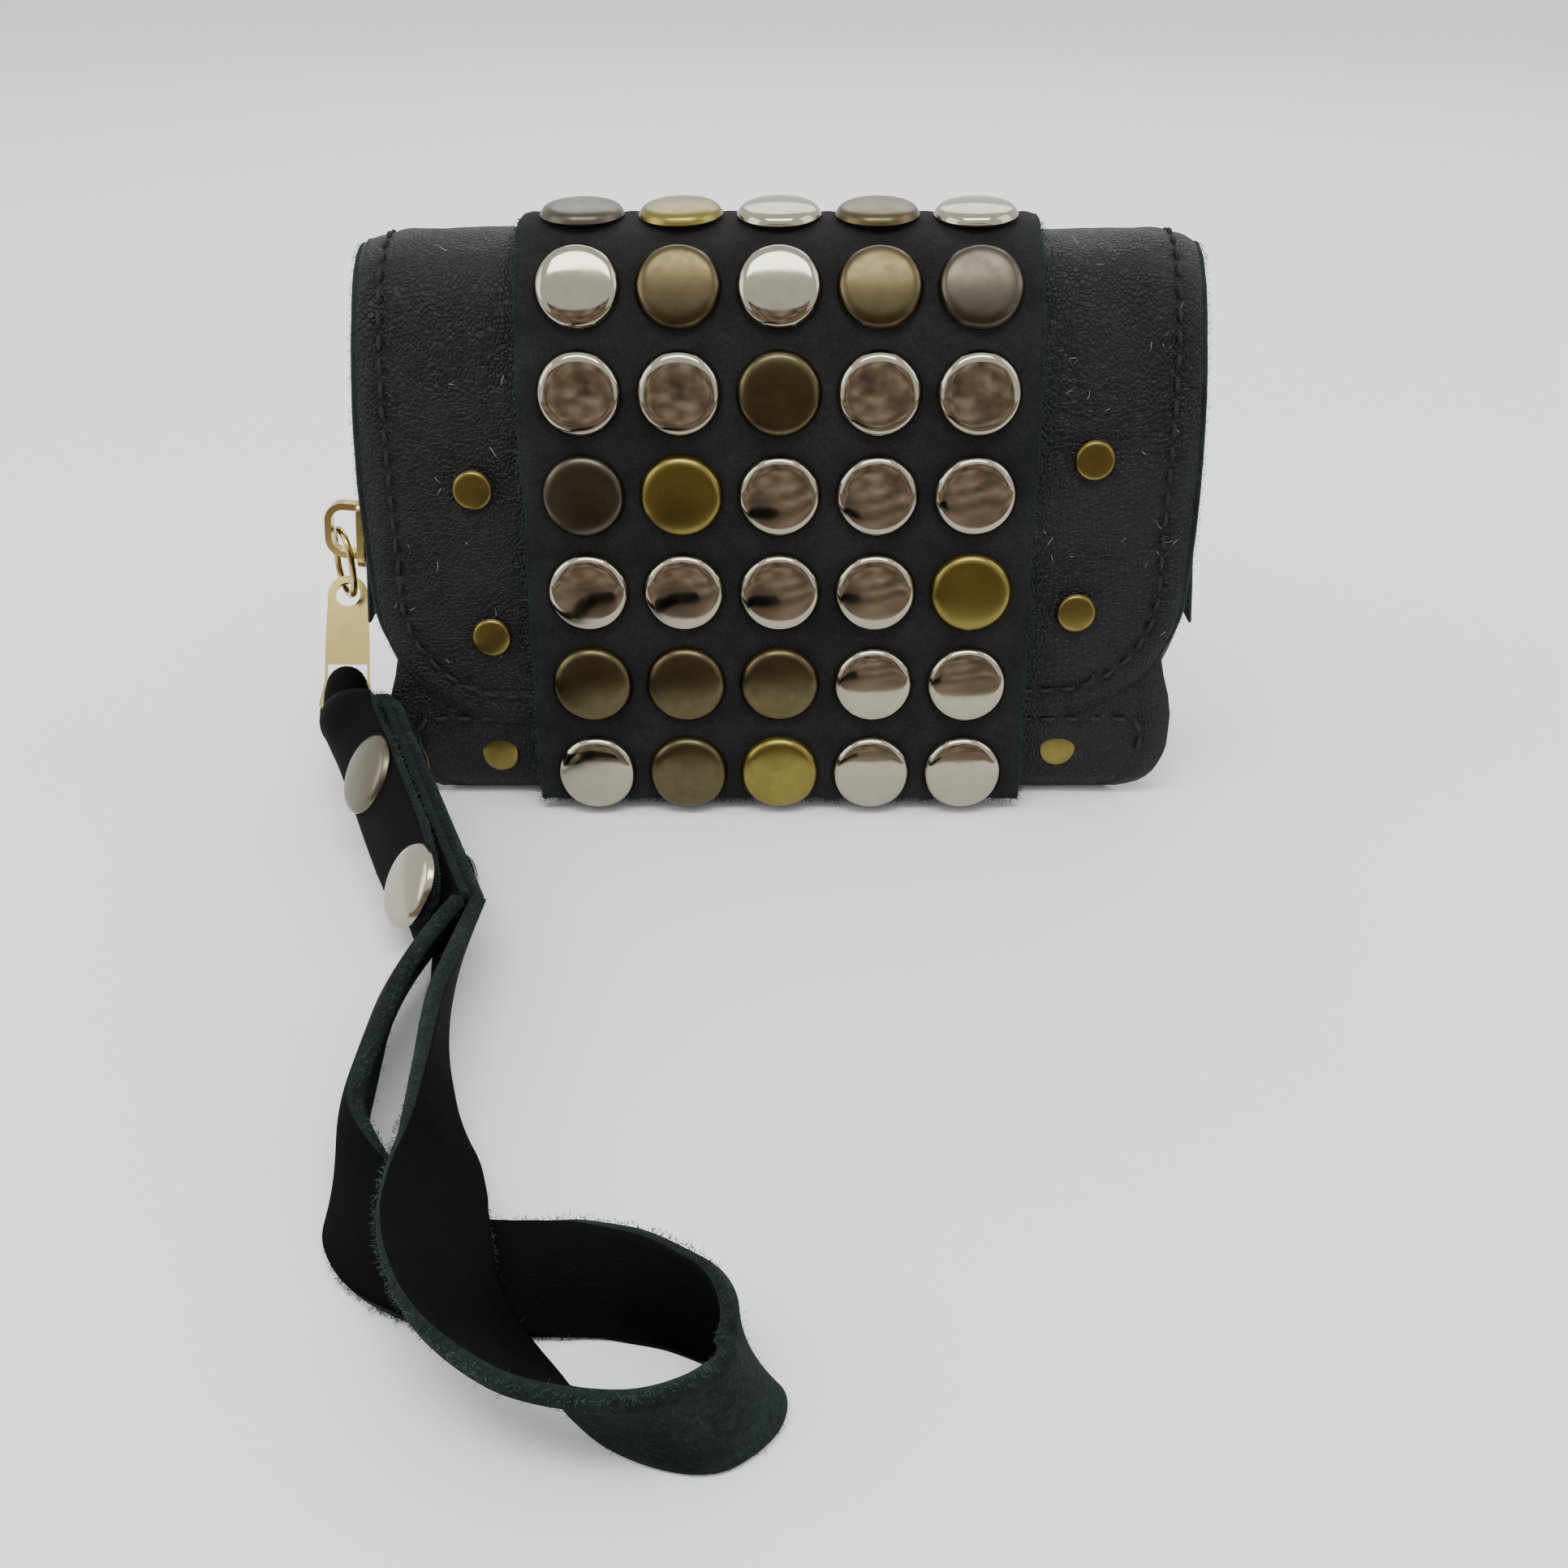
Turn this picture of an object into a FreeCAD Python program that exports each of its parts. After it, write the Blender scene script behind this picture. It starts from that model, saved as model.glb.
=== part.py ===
import FreeCAD, Part
import math
import os

# A small leather wallet with a studded band over its flap, a zip pouch inside and a wrist strap
# on the zip's pull. It stands upright: X runs across it, Y from its front (-Y) to its back,
# and Z is up. The origin is the middle of its base. Lengths are millimetres.

Vector = FreeCAD.Vector
Rotation = FreeCAD.Rotation
Placement = FreeCAD.Placement

doc = FreeCAD.newDocument("studded_wallet")
sheet = doc.addObject("Spreadsheet::Sheet", "Sizes")

SIZES = [
    # flap and outer leather
    ("flap_width", 125.0),
    ("flap_corner", 20.0),
    ("leather_thick", 1.4),
    ("lining_thick", 0.4),
    ("outer_width", 124.0),
    ("outer_corner", 10.0),
    ("back_face", 17.4),
    ("back_top", 73.2),
    ("hinge_height", 74.9),
    ("crest_back_radius", 11.0),
    ("crest_front_radius", 14.0),
    ("brow_radius", 45.0),
    ("brow_turn", 25.4),
    ("flap_drop", 44.8),
    ("cuff_top", 20.0),
    ("base_edge_radius", 5.0),
    # studded band
    ("band_width", 76.0),
    ("band_thick", 1.9),
    ("band_gap", 0.5),
    ("band_drop", 58.2),
    ("band_back_turn", 30.0),
    # caps in the band
    ("cap_width", 12.5),
    ("cap_height", 2.0),
    ("cap_sheet", 0.4),
    ("cap_pitch", 14.5),
    ("row_pitch", 15.0),
    ("first_row", 5.0),
    ("post_width", 2.5),
    ("post_foot_width", 4.0),
    ("post_foot_thick", 0.25),
    # small rivets
    ("rivet_width", 6.2),
    ("rivet_height", 0.9),
    ("rivet_shank", 2.0),
    ("rivet_foot_thick", 0.3),
    # snaps
    ("snap_offset", 29.0),
    ("snap_width", 9.0),
    ("snap_plate_thick", 0.4),
    ("stud_width", 3.6),
    ("socket_hole", 5.4),
    # card pockets
    ("card_panel_width", 104.0),
    ("card_panel_thick", 0.8),
    ("card_panel_step", 1.0),
    ("card_panel_rise", 9.0),
    ("card_panel_first_top", 45.0),
    ("card_panel_low", 5.0),
    ("card_panel_corner", 6.0),
    # zip pouch
    ("pouch_wall", 1.2),
    ("pouch_base", 3.6),
    ("pouch_half_base", 39.9),
    ("pouch_low_corner", 26.0),
    ("pouch_top_corner", 17.0),
    ("pouch_top", 75.0),
    ("side_lean", 5.4),
    ("pouch_front_depth", 6.9),
    ("divider_margin", 3.0),
    ("divider_top", 62.0),
    ("zip_centre", 5.2),
    ("rim_gap", 3.75),
    ("tape_thick", 0.6),
    ("tape_width", 6.0),
    ("tape_edge", 1.65),
    ("tape_low_end", 26.0),
    ("tooth_thick", 2.4),
    ("tooth_length", 2.3),
    ("tooth_step", 1.3),
    ("tooth_pitch", 2.6),
    ("tooth_centre_gap", 1.4),
    ("teeth_low_end", 31.5),
    ("stop_length", 3.0),
    # slider, ring and pull
    ("slider_height", 38.5),
    ("slider_length", 11.4),
    ("slider_width", 7.0),
    ("slider_plate", 1.2),
    ("slider_gap", 3.0),
    ("wedge_width", 1.0),
    ("wedge_length", 2.4),
    ("bail_reach", 5.6),
    ("bail_length", 9.4),
    ("bail_width", 2.0),
    ("bail_thick", 1.1),
    ("ring_wire", 1.1),
    ("ring_half_width", 4.2),
    ("ring_half_length", 5.5),
    ("pull_length", 22.5),
    ("pull_thick", 1.0),
    ("pull_top_width", 6.4),
    ("pull_end_width", 9.0),
    ("pull_hole", 4.0),
    ("pull_window_width", 6.4),
    ("pull_window_length", 6.0),
    # wrist strap
    ("strap_width", 11.5),
    ("strap_thick", 2.2),
    ("strap_neck_length", 17.0),
    ("strap_neck_width", 3.0),
    ("strap_neck_thick", 1.8),
    ("strap_cap_first", 29.0),
    ("strap_cap_second", 56.0),
    ("strap_cap_width", 12.5),
    ("strap_cap_height", 1.6),
    ("loop_tube_width", 5.0),
]

for row, (alias, value) in enumerate(SIZES, start=1):
    sheet.set("A%d" % row, alias)
    sheet.set("B%d" % row, str(value))
    sheet.setAlias("B%d" % row, alias)
doc.recompute()


def size(alias):
    """A driving dimension, read from the spreadsheet."""
    return float(sheet.get(alias))


# ---------------------------------------------------------------- outlines

def trace(start, heading, steps, offset):
    """Edges beside a path of lines and arcs. A positive turn is to the left, and a positive
    offset lies to the right of the path. Returns the edges and the ends of each."""
    point = Vector(start[0], start[1], 0)
    angle = math.radians(heading)
    edges = []
    for step in steps:
        right = Vector(math.sin(angle), -math.cos(angle), 0)
        beside = point + right * offset
        if step[0] == "line":
            ahead = Vector(math.cos(angle), math.sin(angle), 0) * step[1]
            edges.append(Part.LineSegment(beside, beside + ahead))
            point = point + ahead
            continue
        radius, turn = step[1], math.radians(step[2])
        side = 1 if turn > 0 else -1
        centre = point - right * (radius * side)
        reach = radius + offset * side
        from_angle = angle - side * math.pi / 2
        to_angle = from_angle + turn
        circle = Part.Circle(centre, Vector(0, 0, 1), reach)
        edges.append(Part.ArcOfCircle(circle, min(from_angle, to_angle), max(from_angle, to_angle)))
        point = centre + Vector(math.cos(to_angle), math.sin(to_angle), 0) * radius
        angle += turn
    right = Vector(math.sin(angle), -math.cos(angle), 0)
    return edges, Vector(start[0], start[1], 0), point, right


def start_right(heading):
    """The direction to the right of a heading in degrees."""
    angle = math.radians(heading)
    return Vector(math.sin(angle), -math.cos(angle), 0)


def ribbon(start, heading, steps, near, far):
    """The closed outline of a sheet that follows a path between two offsets."""
    inner, first, last, last_right = trace(start, heading, steps, near)
    outer = trace(start, heading, steps, far)[0]
    right = start_right(heading)
    caps = [
        Part.LineSegment(first + right * near, first + right * far),
        Part.LineSegment(last + last_right * near, last + last_right * far),
    ]
    return inner + outer + caps


def spot(start, heading, steps, distance, offset):
    """The point and the direction to the right at a distance along an offset path."""
    walked = 0.0
    kept = []
    for step in steps:
        if step[0] == "line":
            length = step[1]
        else:
            side = 1 if step[2] > 0 else -1
            length = (step[1] + offset * side) * math.radians(abs(step[2]))
        if walked + length >= distance:
            share = (distance - walked) / length
            if step[0] == "line":
                kept.append(("line", step[1] * share))
            else:
                kept.append(("arc", step[1], step[2] * share))
            break
        kept.append(step)
        walked += length
    point, right = trace(start, heading, kept, 0)[2:]
    return point + right * offset, right


def rounded_bottom(half_width, low, high, radius):
    """An upright panel outline in (X, Z) with two rounded lower corners."""
    left, right = -half_width, half_width
    corner = Part.Circle(Vector(left + radius, low + radius, 0), Vector(0, 0, 1), radius)
    other = Part.Circle(Vector(right - radius, low + radius, 0), Vector(0, 0, 1), radius)
    return [
        Part.LineSegment(Vector(left, high, 0), Vector(left, low + radius, 0)),
        Part.ArcOfCircle(corner, math.pi, 1.5 * math.pi),
        Part.LineSegment(Vector(left + radius, low, 0), Vector(right - radius, low, 0)),
        Part.ArcOfCircle(other, 1.5 * math.pi, 2 * math.pi),
        Part.LineSegment(Vector(right, low + radius, 0), Vector(right, high, 0)),
        Part.LineSegment(Vector(right, high, 0), Vector(left, high, 0)),
    ]


def rectangle(low_x, high_x, low_y, high_y):
    """A closed outline of four lines."""
    corners = [(low_x, low_y), (high_x, low_y), (high_x, high_y), (low_x, high_y)]
    points = [Vector(x, y, 0) for x, y in corners]
    return [Part.LineSegment(points[n], points[(n + 1) % 4]) for n in range(4)]


# ---------------------------------------------------------------- document helpers

# half the side of the square, and the height, that reach past every bent piece
TRIM_REACH = 130.0
OPEN_TOP = 110.0


def origin_plane(body, role):
    """One of a body's own planes."""
    return [f for f in body.Origin.OriginFeatures if f.Role == role][0]


def add_sketch(body, name, role, edges):
    """A sketch of given edges on one of a body's own planes."""
    sketch = body.newObject("Sketcher::SketchObject", name)
    sketch.AttachmentSupport = [(origin_plane(body, role), "")]
    sketch.MapMode = "FlatFace"
    for edge in edges:
        sketch.addGeometry(edge, False)
    return sketch


def padded_body(label, role, edges, length_expression):
    """A body of one sketch padded equally to both sides of its plane."""
    body = doc.addObject("PartDesign::Body", label)
    body.Label = label
    sketch = add_sketch(body, label + "_outline", role, edges)
    pad = body.newObject("PartDesign::Pad", label + "_pad")
    pad.Profile = sketch
    pad.SideType = "Symmetric"
    pad.setExpression("Length", length_expression)
    doc.recompute()
    return body


def trim_outside(body, role, edges):
    """Cuts off what lies outside an outline, through the whole body."""
    label = body.Label
    frame_edges = rectangle(-TRIM_REACH, TRIM_REACH, -TRIM_REACH, TRIM_REACH)
    sketch = add_sketch(body, label + "_trim", role, edges + frame_edges)
    pocket = body.newObject("PartDesign::Pocket", label + "_trim_cut")
    pocket.Profile = sketch
    pocket.SideType = "Symmetric"
    pocket.Length = 2 * TRIM_REACH
    doc.recompute()
    return body


def shape_node(label, shape, placement=None):
    """A sub-part whose shape comes from Part's own functions."""
    node = doc.addObject("Part::Feature", label)
    node.Label = label
    node.Shape = shape
    if placement is not None:
        node.Placement = placement
    return node


def in_plane(edges, role):
    """A face of an outline, laid in the YZ or the XZ plane."""
    wire = Part.Wire(Part.__sortEdges__([e.toShape() for e in edges]))
    face = Part.Face(wire)
    axes = {
        "YZ": (Vector(0, 1, 0), Vector(0, 0, 1), Vector(1, 0, 0)),
        "XZ": (Vector(1, 0, 0), Vector(0, 0, 1), Vector(0, -1, 0)),
    }[role]
    face.Placement = Placement(Vector(0, 0, 0), Rotation(*axes, "ZXY"))
    return face


def slab(edges, role, low, high):
    """An outline pushed along the third axis, from low to high."""
    face = in_plane(edges, role)
    axis = Vector(1, 0, 0) if role == "YZ" else Vector(0, 1, 0)
    face.translate(axis * low)
    return face.extrude(axis * (high - low))


def turned(profile):
    """A solid of revolution about Z of an outline given as (radius, height) points, where a
    point of three values is the middle of an arc."""
    edges = []
    index = 0
    while index < len(profile) - 1:
        here, after = profile[index], profile[index + 1]
        if len(after) == 3:
            end = profile[index + 2]
            middle = Vector(after[0], 0, after[1])
            edges.append(Part.Arc(Vector(here[0], 0, here[1]), middle, Vector(end[0], 0, end[1])).toShape())
            index += 2
        else:
            edges.append(Part.makeLine(Vector(here[0], 0, here[1]), Vector(after[0], 0, after[1])))
            index += 1
    edges.append(Part.makeLine(Vector(profile[-1][0], 0, profile[-1][1]),
                               Vector(profile[0][0], 0, profile[0][1])))
    face = Part.Face(Part.Wire(Part.__sortEdges__(edges)))
    solid = face.revolve(Vector(0, 0, 0), Vector(0, 0, 1), 360)
    if solid.Volume < 0:
        solid.reverse()
    return solid


def facing(point, normal):
    """A placement that stands a turned solid at a point, with its +Z along a direction."""
    return Placement(point, Rotation(Vector(0, 0, 1), normal))


def group(shape, placements):
    """Separate copies of one solid."""
    copies = []
    for placement in placements:
        copy = shape.copy()
        copy.Placement = placement
        copies.append(copy)
    return Part.makeCompound(copies)


# ---------------------------------------------------------------- the folded side view

BACK_START = (size("back_face"), size("hinge_height"))
CREST = [
    ("arc", size("crest_back_radius"), 90.0),
    ("arc", size("crest_front_radius"), 60.0),
    ("arc", size("brow_radius"), size("brow_turn")),
]
FLAP_PATH = CREST + [("line", size("flap_drop"))]
BAND_PATH = CREST + [("line", size("band_drop"))]
FLAP_INSIDE = size("leather_thick") + size("lining_thick")

crest_end = trace(BACK_START, 90, CREST, 0)[2]
FRONT_HEADING = 240 + size("brow_turn")
FRONT_OUT = start_right(FRONT_HEADING)
FRONT_DOWN = Vector(-FRONT_OUT.y, FRONT_OUT.x, 0)


def front_at(height, offset):
    """The (Y, Z) point of the front face line at a height, moved out by an offset."""
    down = (crest_end.y + FRONT_OUT.y * offset - height) / -FRONT_DOWN.y
    return crest_end + FRONT_OUT * offset + FRONT_DOWN * down


def world(side_point, across):
    """A point of the side view, placed across the wallet."""
    return Vector(across, side_point.x, side_point.y)


def world_direction(side_direction):
    """A direction of the side view, in space."""
    return Vector(0, side_direction.x, side_direction.y)


# ---------------------------------------------------------------- outer leather and flap

def make_outer_leather():
    """Back, base and front cuff, one bent piece of leather."""
    thick = size("leather_thick")
    bend = size("base_edge_radius")
    cuff_offset = -(FLAP_INSIDE + 0.3)
    top = front_at(size("cuff_top"), cuff_offset)
    foot = front_at(0, cuff_offset)
    turn = 360 - FRONT_HEADING
    setback = bend * math.tan(math.radians(turn / 2))
    drop = (top - foot).Length - setback
    floor_run = size("back_face") - bend - foot.x - setback
    path = [
        ("line", drop),
        ("arc", bend, turn),
        ("line", floor_run),
        ("arc", bend, 90.0),
        ("line", size("back_top") - bend),
    ]
    edges = ribbon((top.x, top.y), FRONT_HEADING, path, -thick, 0)
    body = padded_body("outer_leather", "YZ_Plane", edges, "Sizes.outer_width")
    outline = rounded_bottom(size("outer_width") / 2, 0, OPEN_TOP, size("outer_corner"))
    trim_outside(body, "XZ_Plane", outline)


def make_flap():
    """The flap leather and the thin lining under it."""
    leather, lining = size("leather_thick"), size("lining_thick")
    flap_low = trace(BACK_START, 90, FLAP_PATH, 0)[2].y
    layers = [("flap_leather", -leather, 0.0), ("flap_lining", -leather - lining, -leather)]
    for label, near, far in layers:
        edges = ribbon(BACK_START, 90, FLAP_PATH, near, far)
        body = padded_body(label, "YZ_Plane", edges, "Sizes.flap_width")
        outline = rounded_bottom(size("flap_width") / 2, flap_low - 0.2, OPEN_TOP, size("flap_corner"))
        trim_outside(body, "XZ_Plane", outline)


def cap_spots(row, offset):
    """Where a row's caps sit on the band: points and the outward direction."""
    lengths = [size("band_drop")]
    lengths += [(step[1] + offset) * math.radians(step[2]) for step in reversed(CREST)]
    total = sum(lengths)
    along = total - (size("first_row") + row * size("row_pitch"))
    point, right = spot(BACK_START, 90, BAND_PATH, along, offset)
    columns = [(n - 2) * size("cap_pitch") for n in range(5)]
    return [(world(point, x), world_direction(right)) for x in columns]


BAND_FACE = size("band_gap") + size("band_thick")

# finishes of the caps from the lowest row to the top one, left to right:
# N nickel, B brass, A antique brass, G grey antique
CAP_ROWS = ["NABNN", "AAANN", "NNNNB", "GBNNN", "NNANN", "NANAG", "GBNAN"]
CAP_NODES = {
    "N": "caps_nickel",
    "B": "caps_brass",
    "A": "caps_antique_brass",
    "G": "caps_antique_grey",
}


def make_band():
    """The studded band, from the back of the crest down over the flap."""
    turn, radius = size("band_back_turn"), size("crest_back_radius")
    start = trace(BACK_START, 90, [("arc", radius, turn)], 0)[2]
    path = [("arc", radius, 90 - turn)] + BAND_PATH[1:]
    edges = ribbon((start.x, start.y), 90 + turn, path, size("band_gap"), BAND_FACE)
    band = slab(edges, "YZ", -size("band_width") / 2, size("band_width") / 2)
    hole = Part.makeCylinder(size("post_width") / 2, 3 * size("band_thick"))
    holes = []
    for row in range(len(CAP_ROWS)):
        for point, normal in cap_spots(row, BAND_FACE):
            copy = hole.copy()
            copy.Placement = facing(point - normal * (1.5 * size("band_thick")), normal)
            holes.append(copy)
    shape_node("band_front", band.cut(holes))


def crown_points(edge, rise, top):
    """A dome from the axis down to its edge: the top, the middle of its arc and the edge."""
    sphere = (edge ** 2 + rise ** 2) / (2 * rise)
    half = math.asin(edge / sphere) / 2
    middle = (sphere * math.sin(half), top - sphere * (1 - math.cos(half)), "arc")
    return [(0, top), middle, (edge, top - rise)]


def hollow_dome(radius, height, skin):
    """A pressed sheet-metal cap, open underneath, with its rim turned down."""
    shoulder = 0.86
    drop = 0.32 * height
    inside = radius - skin
    outer = crown_points(shoulder * radius, drop, height)
    inner = crown_points(shoulder * inside, drop, height - skin)
    return turned(outer + [(radius, 0.35), (radius - 0.2, 0), (inside, 0)] + inner[::-1])


def make_caps():
    """Domed caps by finish, and the posts that hold them in the band."""
    radius, height = size("cap_width") / 2, size("cap_height")
    skin = size("cap_sheet")
    cap = hollow_dome(radius, height, skin)
    places = {letter: [] for letter in CAP_NODES}
    posts = []
    for row, letters in enumerate(CAP_ROWS):
        for letter, (point, normal) in zip(letters, cap_spots(row, BAND_FACE)):
            places[letter].append(facing(point, normal))
            posts.append(facing(point - normal * (BAND_FACE - 0.05), normal))
    for letter, node in CAP_NODES.items():
        shape_node(node, group(cap, places[letter]))
    shank, foot = size("post_width") / 2, size("post_foot_width") / 2
    foot_thick = size("post_foot_thick")
    tip = BAND_FACE + height - skin - 0.15
    post = turned([
        (0, 0), (foot, 0), (foot, foot_thick), (shank, foot_thick), (shank, tip - 0.05), (0, tip),
    ])
    shape_node("cap_posts", group(post, posts))


# ---------------------------------------------------------------- small rivets and snaps

FLAP_RIVETS = [(-45.8, 52.0), (-44.6, 28.7), (46.8, 56.5), (45.7, 32.7)]
CUFF_RIVETS = [(-44.9, 8.3), (44.6, 9.2)]
CUFF_OUT = -(FLAP_INSIDE + 0.3)


def make_rivets(head_node, foot_node, spots, offset, grip):
    """Tubular rivets through leather of a thickness, with a low head and a plain washer."""
    radius, height = size("rivet_width") / 2, size("rivet_height")
    shank = size("rivet_shank") / 2
    crown = crown_points(0.88 * radius, 0.4 * height, height)
    head = turned(crown + [(radius, 0.2), (radius - 0.2, 0), (shank, 0), (shank, -grip), (0, -grip)])
    wide, under = 0.75 * radius, -grip - size("rivet_foot_thick")
    foot = turned([(shank, under), (wide, under), (wide, -grip), (shank, -grip)])
    places = []
    for across, height_up in spots:
        places.append(facing(world(front_at(height_up, offset), across), world_direction(FRONT_OUT)))
    shape_node(head_node, group(head, places))
    shape_node(foot_node, group(foot, places))
    return places


def drill(label, places, radius, reach):
    """Replaces a bent piece by itself with rivet holes."""
    solid = doc.getObject(label)
    tool = Part.makeCylinder(radius, 2 * reach, Vector(0, 0, -reach))
    cutter = doc.addObject("Part::Feature", label + "_drills")
    cutter.Shape = group(tool, places)
    cut = doc.addObject("Part::Cut", label + "_drilled")
    cut.Base = solid
    cut.Tool = cutter
    doc.recompute()
    solid.Label = label + "_blank"
    cut.Label = label
    return cut


def make_snaps():
    """Two snaps under the band's lowest row: studs on the cuff, sockets in the band."""
    plate, radius = size("snap_plate_thick"), size("snap_width") / 2
    stud = size("stud_width") / 2
    rise = 1.5
    snap_stud = turned([
        (0, 0), (radius, 0), (radius, plate), (stud, plate), (stud - 0.1, rise - 0.2),
        (stud - 0.3, rise), (0, rise),
    ])
    depth = 0.8
    hole = size("socket_hole") / 2
    socket = turned([(hole, -depth), (radius, -depth), (radius, 0), (hole, 0)])
    row_point = cap_spots(0, 0)[0][0]
    cuff_point = front_at(row_point.z, CUFF_OUT)
    studs, sockets = [], []
    for across in (-size("snap_offset"), size("snap_offset")):
        out = world_direction(FRONT_OUT)
        studs.append(facing(world(cuff_point, across), out))
        sockets.append(facing(Vector(across, row_point.y, row_point.z), out))
    shape_node("snap_studs", group(snap_stud, studs))
    shape_node("snap_sockets", group(socket, sockets))


# ---------------------------------------------------------------- inside: cards and pouch

def make_card_panels():
    """Three stepped card pockets between the cuff and the pouch."""
    thick, step = size("card_panel_thick"), size("card_panel_step")
    nearest = FLAP_INSIDE + 0.3 + size("leather_thick") + 0.3
    for number in range(3):
        offset = -(nearest + number * step)
        top = size("card_panel_first_top") + number * size("card_panel_rise")
        high = front_at(top, offset)
        low = front_at(size("card_panel_low"), offset)
        edges = ribbon((high.x, high.y), math.degrees(math.atan2(FRONT_DOWN.y, FRONT_DOWN.x)),
                       [("line", (high - low).Length)], -thick, 0)
        label = "card_panel_%d" % (number + 1)
        body = padded_body(label, "YZ_Plane", edges, "Sizes.card_panel_width")
        outline = rounded_bottom(size("card_panel_width") / 2, size("card_panel_low") - 0.5,
                                 OPEN_TOP, size("card_panel_corner"))
        trim_outside(body, "XZ_Plane", outline)


LEAN = size("side_lean")
LOW_CORNER = size("pouch_low_corner")
TOP_CORNER = size("pouch_top_corner")
SIDE_LOW = size("pouch_base") + LOW_CORNER * (1 + math.sin(math.radians(LEAN)))
TOP_RISE = TOP_CORNER * (1 - math.sin(math.radians(LEAN)))
SIDE_RUN = (size("pouch_top") - TOP_RISE - SIDE_LOW) / math.cos(math.radians(LEAN))
SIDE_LOW_X = -(size("pouch_half_base") + LOW_CORNER * math.cos(math.radians(LEAN)))


def side_x(height):
    """X of the zip's plane on the left side at a height."""
    return SIDE_LOW_X + (height - SIDE_LOW) * math.tan(math.radians(LEAN))


TOP_START_X = (SIDE_LOW_X + SIDE_RUN * math.sin(math.radians(LEAN))
               + TOP_CORNER * math.cos(math.radians(LEAN)))
UP_LEFT = [("line", SIDE_RUN), ("arc", TOP_CORNER, -(90 - LEAN))]
OVER_TOP = [("line", -2 * TOP_START_X)]
DOWN_RIGHT = [("arc", TOP_CORNER, -(90 - LEAN)), ("line", SIDE_RUN)]


def zip_path(low_end):
    """The zip's path from a height on the left, over the top, down to it on the right."""
    extra = (low_end - SIDE_LOW) / math.cos(math.radians(LEAN))
    left = [("line", SIDE_RUN - extra), UP_LEFT[1]]
    right = [DOWN_RIGHT[0], ("line", SIDE_RUN - extra)]
    return (side_x(low_end), low_end), 90 - LEAN, left + OVER_TOP + right


def pouch_outline(offset):
    """The pouch's closed front-view outline, moved out by an offset (negative is smaller)."""
    steps = [("line", size("pouch_half_base")), ("arc", LOW_CORNER, -(90 + LEAN))]
    steps += UP_LEFT + OVER_TOP + DOWN_RIGHT
    steps += [("arc", LOW_CORNER, -(90 + LEAN)), ("line", size("pouch_half_base"))]
    return trace((0, size("pouch_base")), 180, steps, -offset)[0]


def behind_front(depth):
    """The space behind the front face line at a depth, as a slab across the wallet."""
    edges, first, last, right = trace(BACK_START, 90, BAND_PATH, -depth)
    start = first + start_right(90) * -depth
    end = last + right * -depth
    low = Vector(start.x, end.y, 0)
    edges += [Part.LineSegment(end, low), Part.LineSegment(low, start)]
    return slab(edges, "YZ", -TRIM_REACH, TRIM_REACH)


def make_pouch():
    """Two dished walls that the zip joins round their sides and top, and a divider."""
    wall = size("pouch_wall")
    rim = -(size("tape_thick") / 2 + 0.1)
    front_rim = size("zip_centre") - size("rim_gap")
    back_rim = size("zip_centre") + size("rim_gap")
    back_low = size("back_face") - size("leather_thick") - 0.2
    depth = size("pouch_front_depth")
    front_block = slab(pouch_outline(rim), "XZ", -20, front_rim)
    front_hollow = slab(pouch_outline(rim - wall), "XZ", -21, front_rim + 1)
    front = front_block.common(behind_front(depth))
    front = front.cut(front_hollow.common(behind_front(depth + wall)))
    shape_node("pouch_front", front)
    back_block = slab(pouch_outline(rim), "XZ", back_rim, back_low)
    back_hollow = slab(pouch_outline(rim - wall), "XZ", back_rim - 1, back_low - wall)
    shape_node("pouch_back", back_block.cut(back_hollow))
    divider = slab(pouch_outline(rim - wall - size("divider_margin")), "XZ", size("zip_centre") - 0.3,
                   size("zip_centre") + 0.3)
    space = Part.makeBox(200, 10, size("divider_top"), Vector(-100, 0, 0))
    shape_node("coin_divider", divider.common(space))


# ---------------------------------------------------------------- zip

def make_tapes():
    """The zip's two tapes, one on each side of its centre line."""
    half = size("tape_thick") / 2
    width, gap = size("tape_width"), size("tape_edge")
    start, heading, steps = zip_path(size("tape_low_end"))
    edges = ribbon(start, heading, steps, -half, half)
    centre = size("zip_centre")
    shape_node("zip_tape_front", slab(edges, "XZ", centre - gap - width, centre - gap))
    shape_node("zip_tape_back", slab(edges, "XZ", centre + gap, centre + gap + width))


def make_teeth():
    """Both rows of teeth, each tooth clamped over the edge of its tape."""
    start, heading, steps = zip_path(size("teeth_low_end"))
    total = sum(s[1] if s[0] == "line" else s[1] * math.radians(abs(s[2])) for s in steps)
    pitch, long, thick = size("tooth_pitch"), size("tooth_length"), size("tooth_thick")
    step, gap = size("tooth_step"), size("tooth_centre_gap") / 2
    slot = size("tape_thick") / 2 + 0.05
    count = int((total - pitch) / pitch)
    margin = (total - count * pitch) / 2
    for label, side, shift in (("zip_teeth_front", -1, 0.0), ("zip_teeth_back", 1, pitch / 2)):
        head = Part.makeBox(step, long, thick, Vector(-step / 2, 0, -thick / 2))
        notch_start = Vector(-step / 2 - 0.5, size("tape_edge") - gap - 0.05, -slot)
        notch = Part.makeBox(step + 1, long, 2 * slot, notch_start)
        tooth = head.cut(notch)
        places = []
        for number in range(count):
            point, right = spot(start, heading, steps, margin + shift + number * pitch, 0)
            out = Vector(-right.x, 0, -right.y)
            across = Vector(0, side, 0)
            along = across.cross(out)
            turn = Rotation(along, across, out, "ZXY")
            base = Vector(point.x, size("zip_centre") + side * gap, point.y)
            places.append(Placement(base, turn))
        shape_node(label, group(tooth, places))


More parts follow.
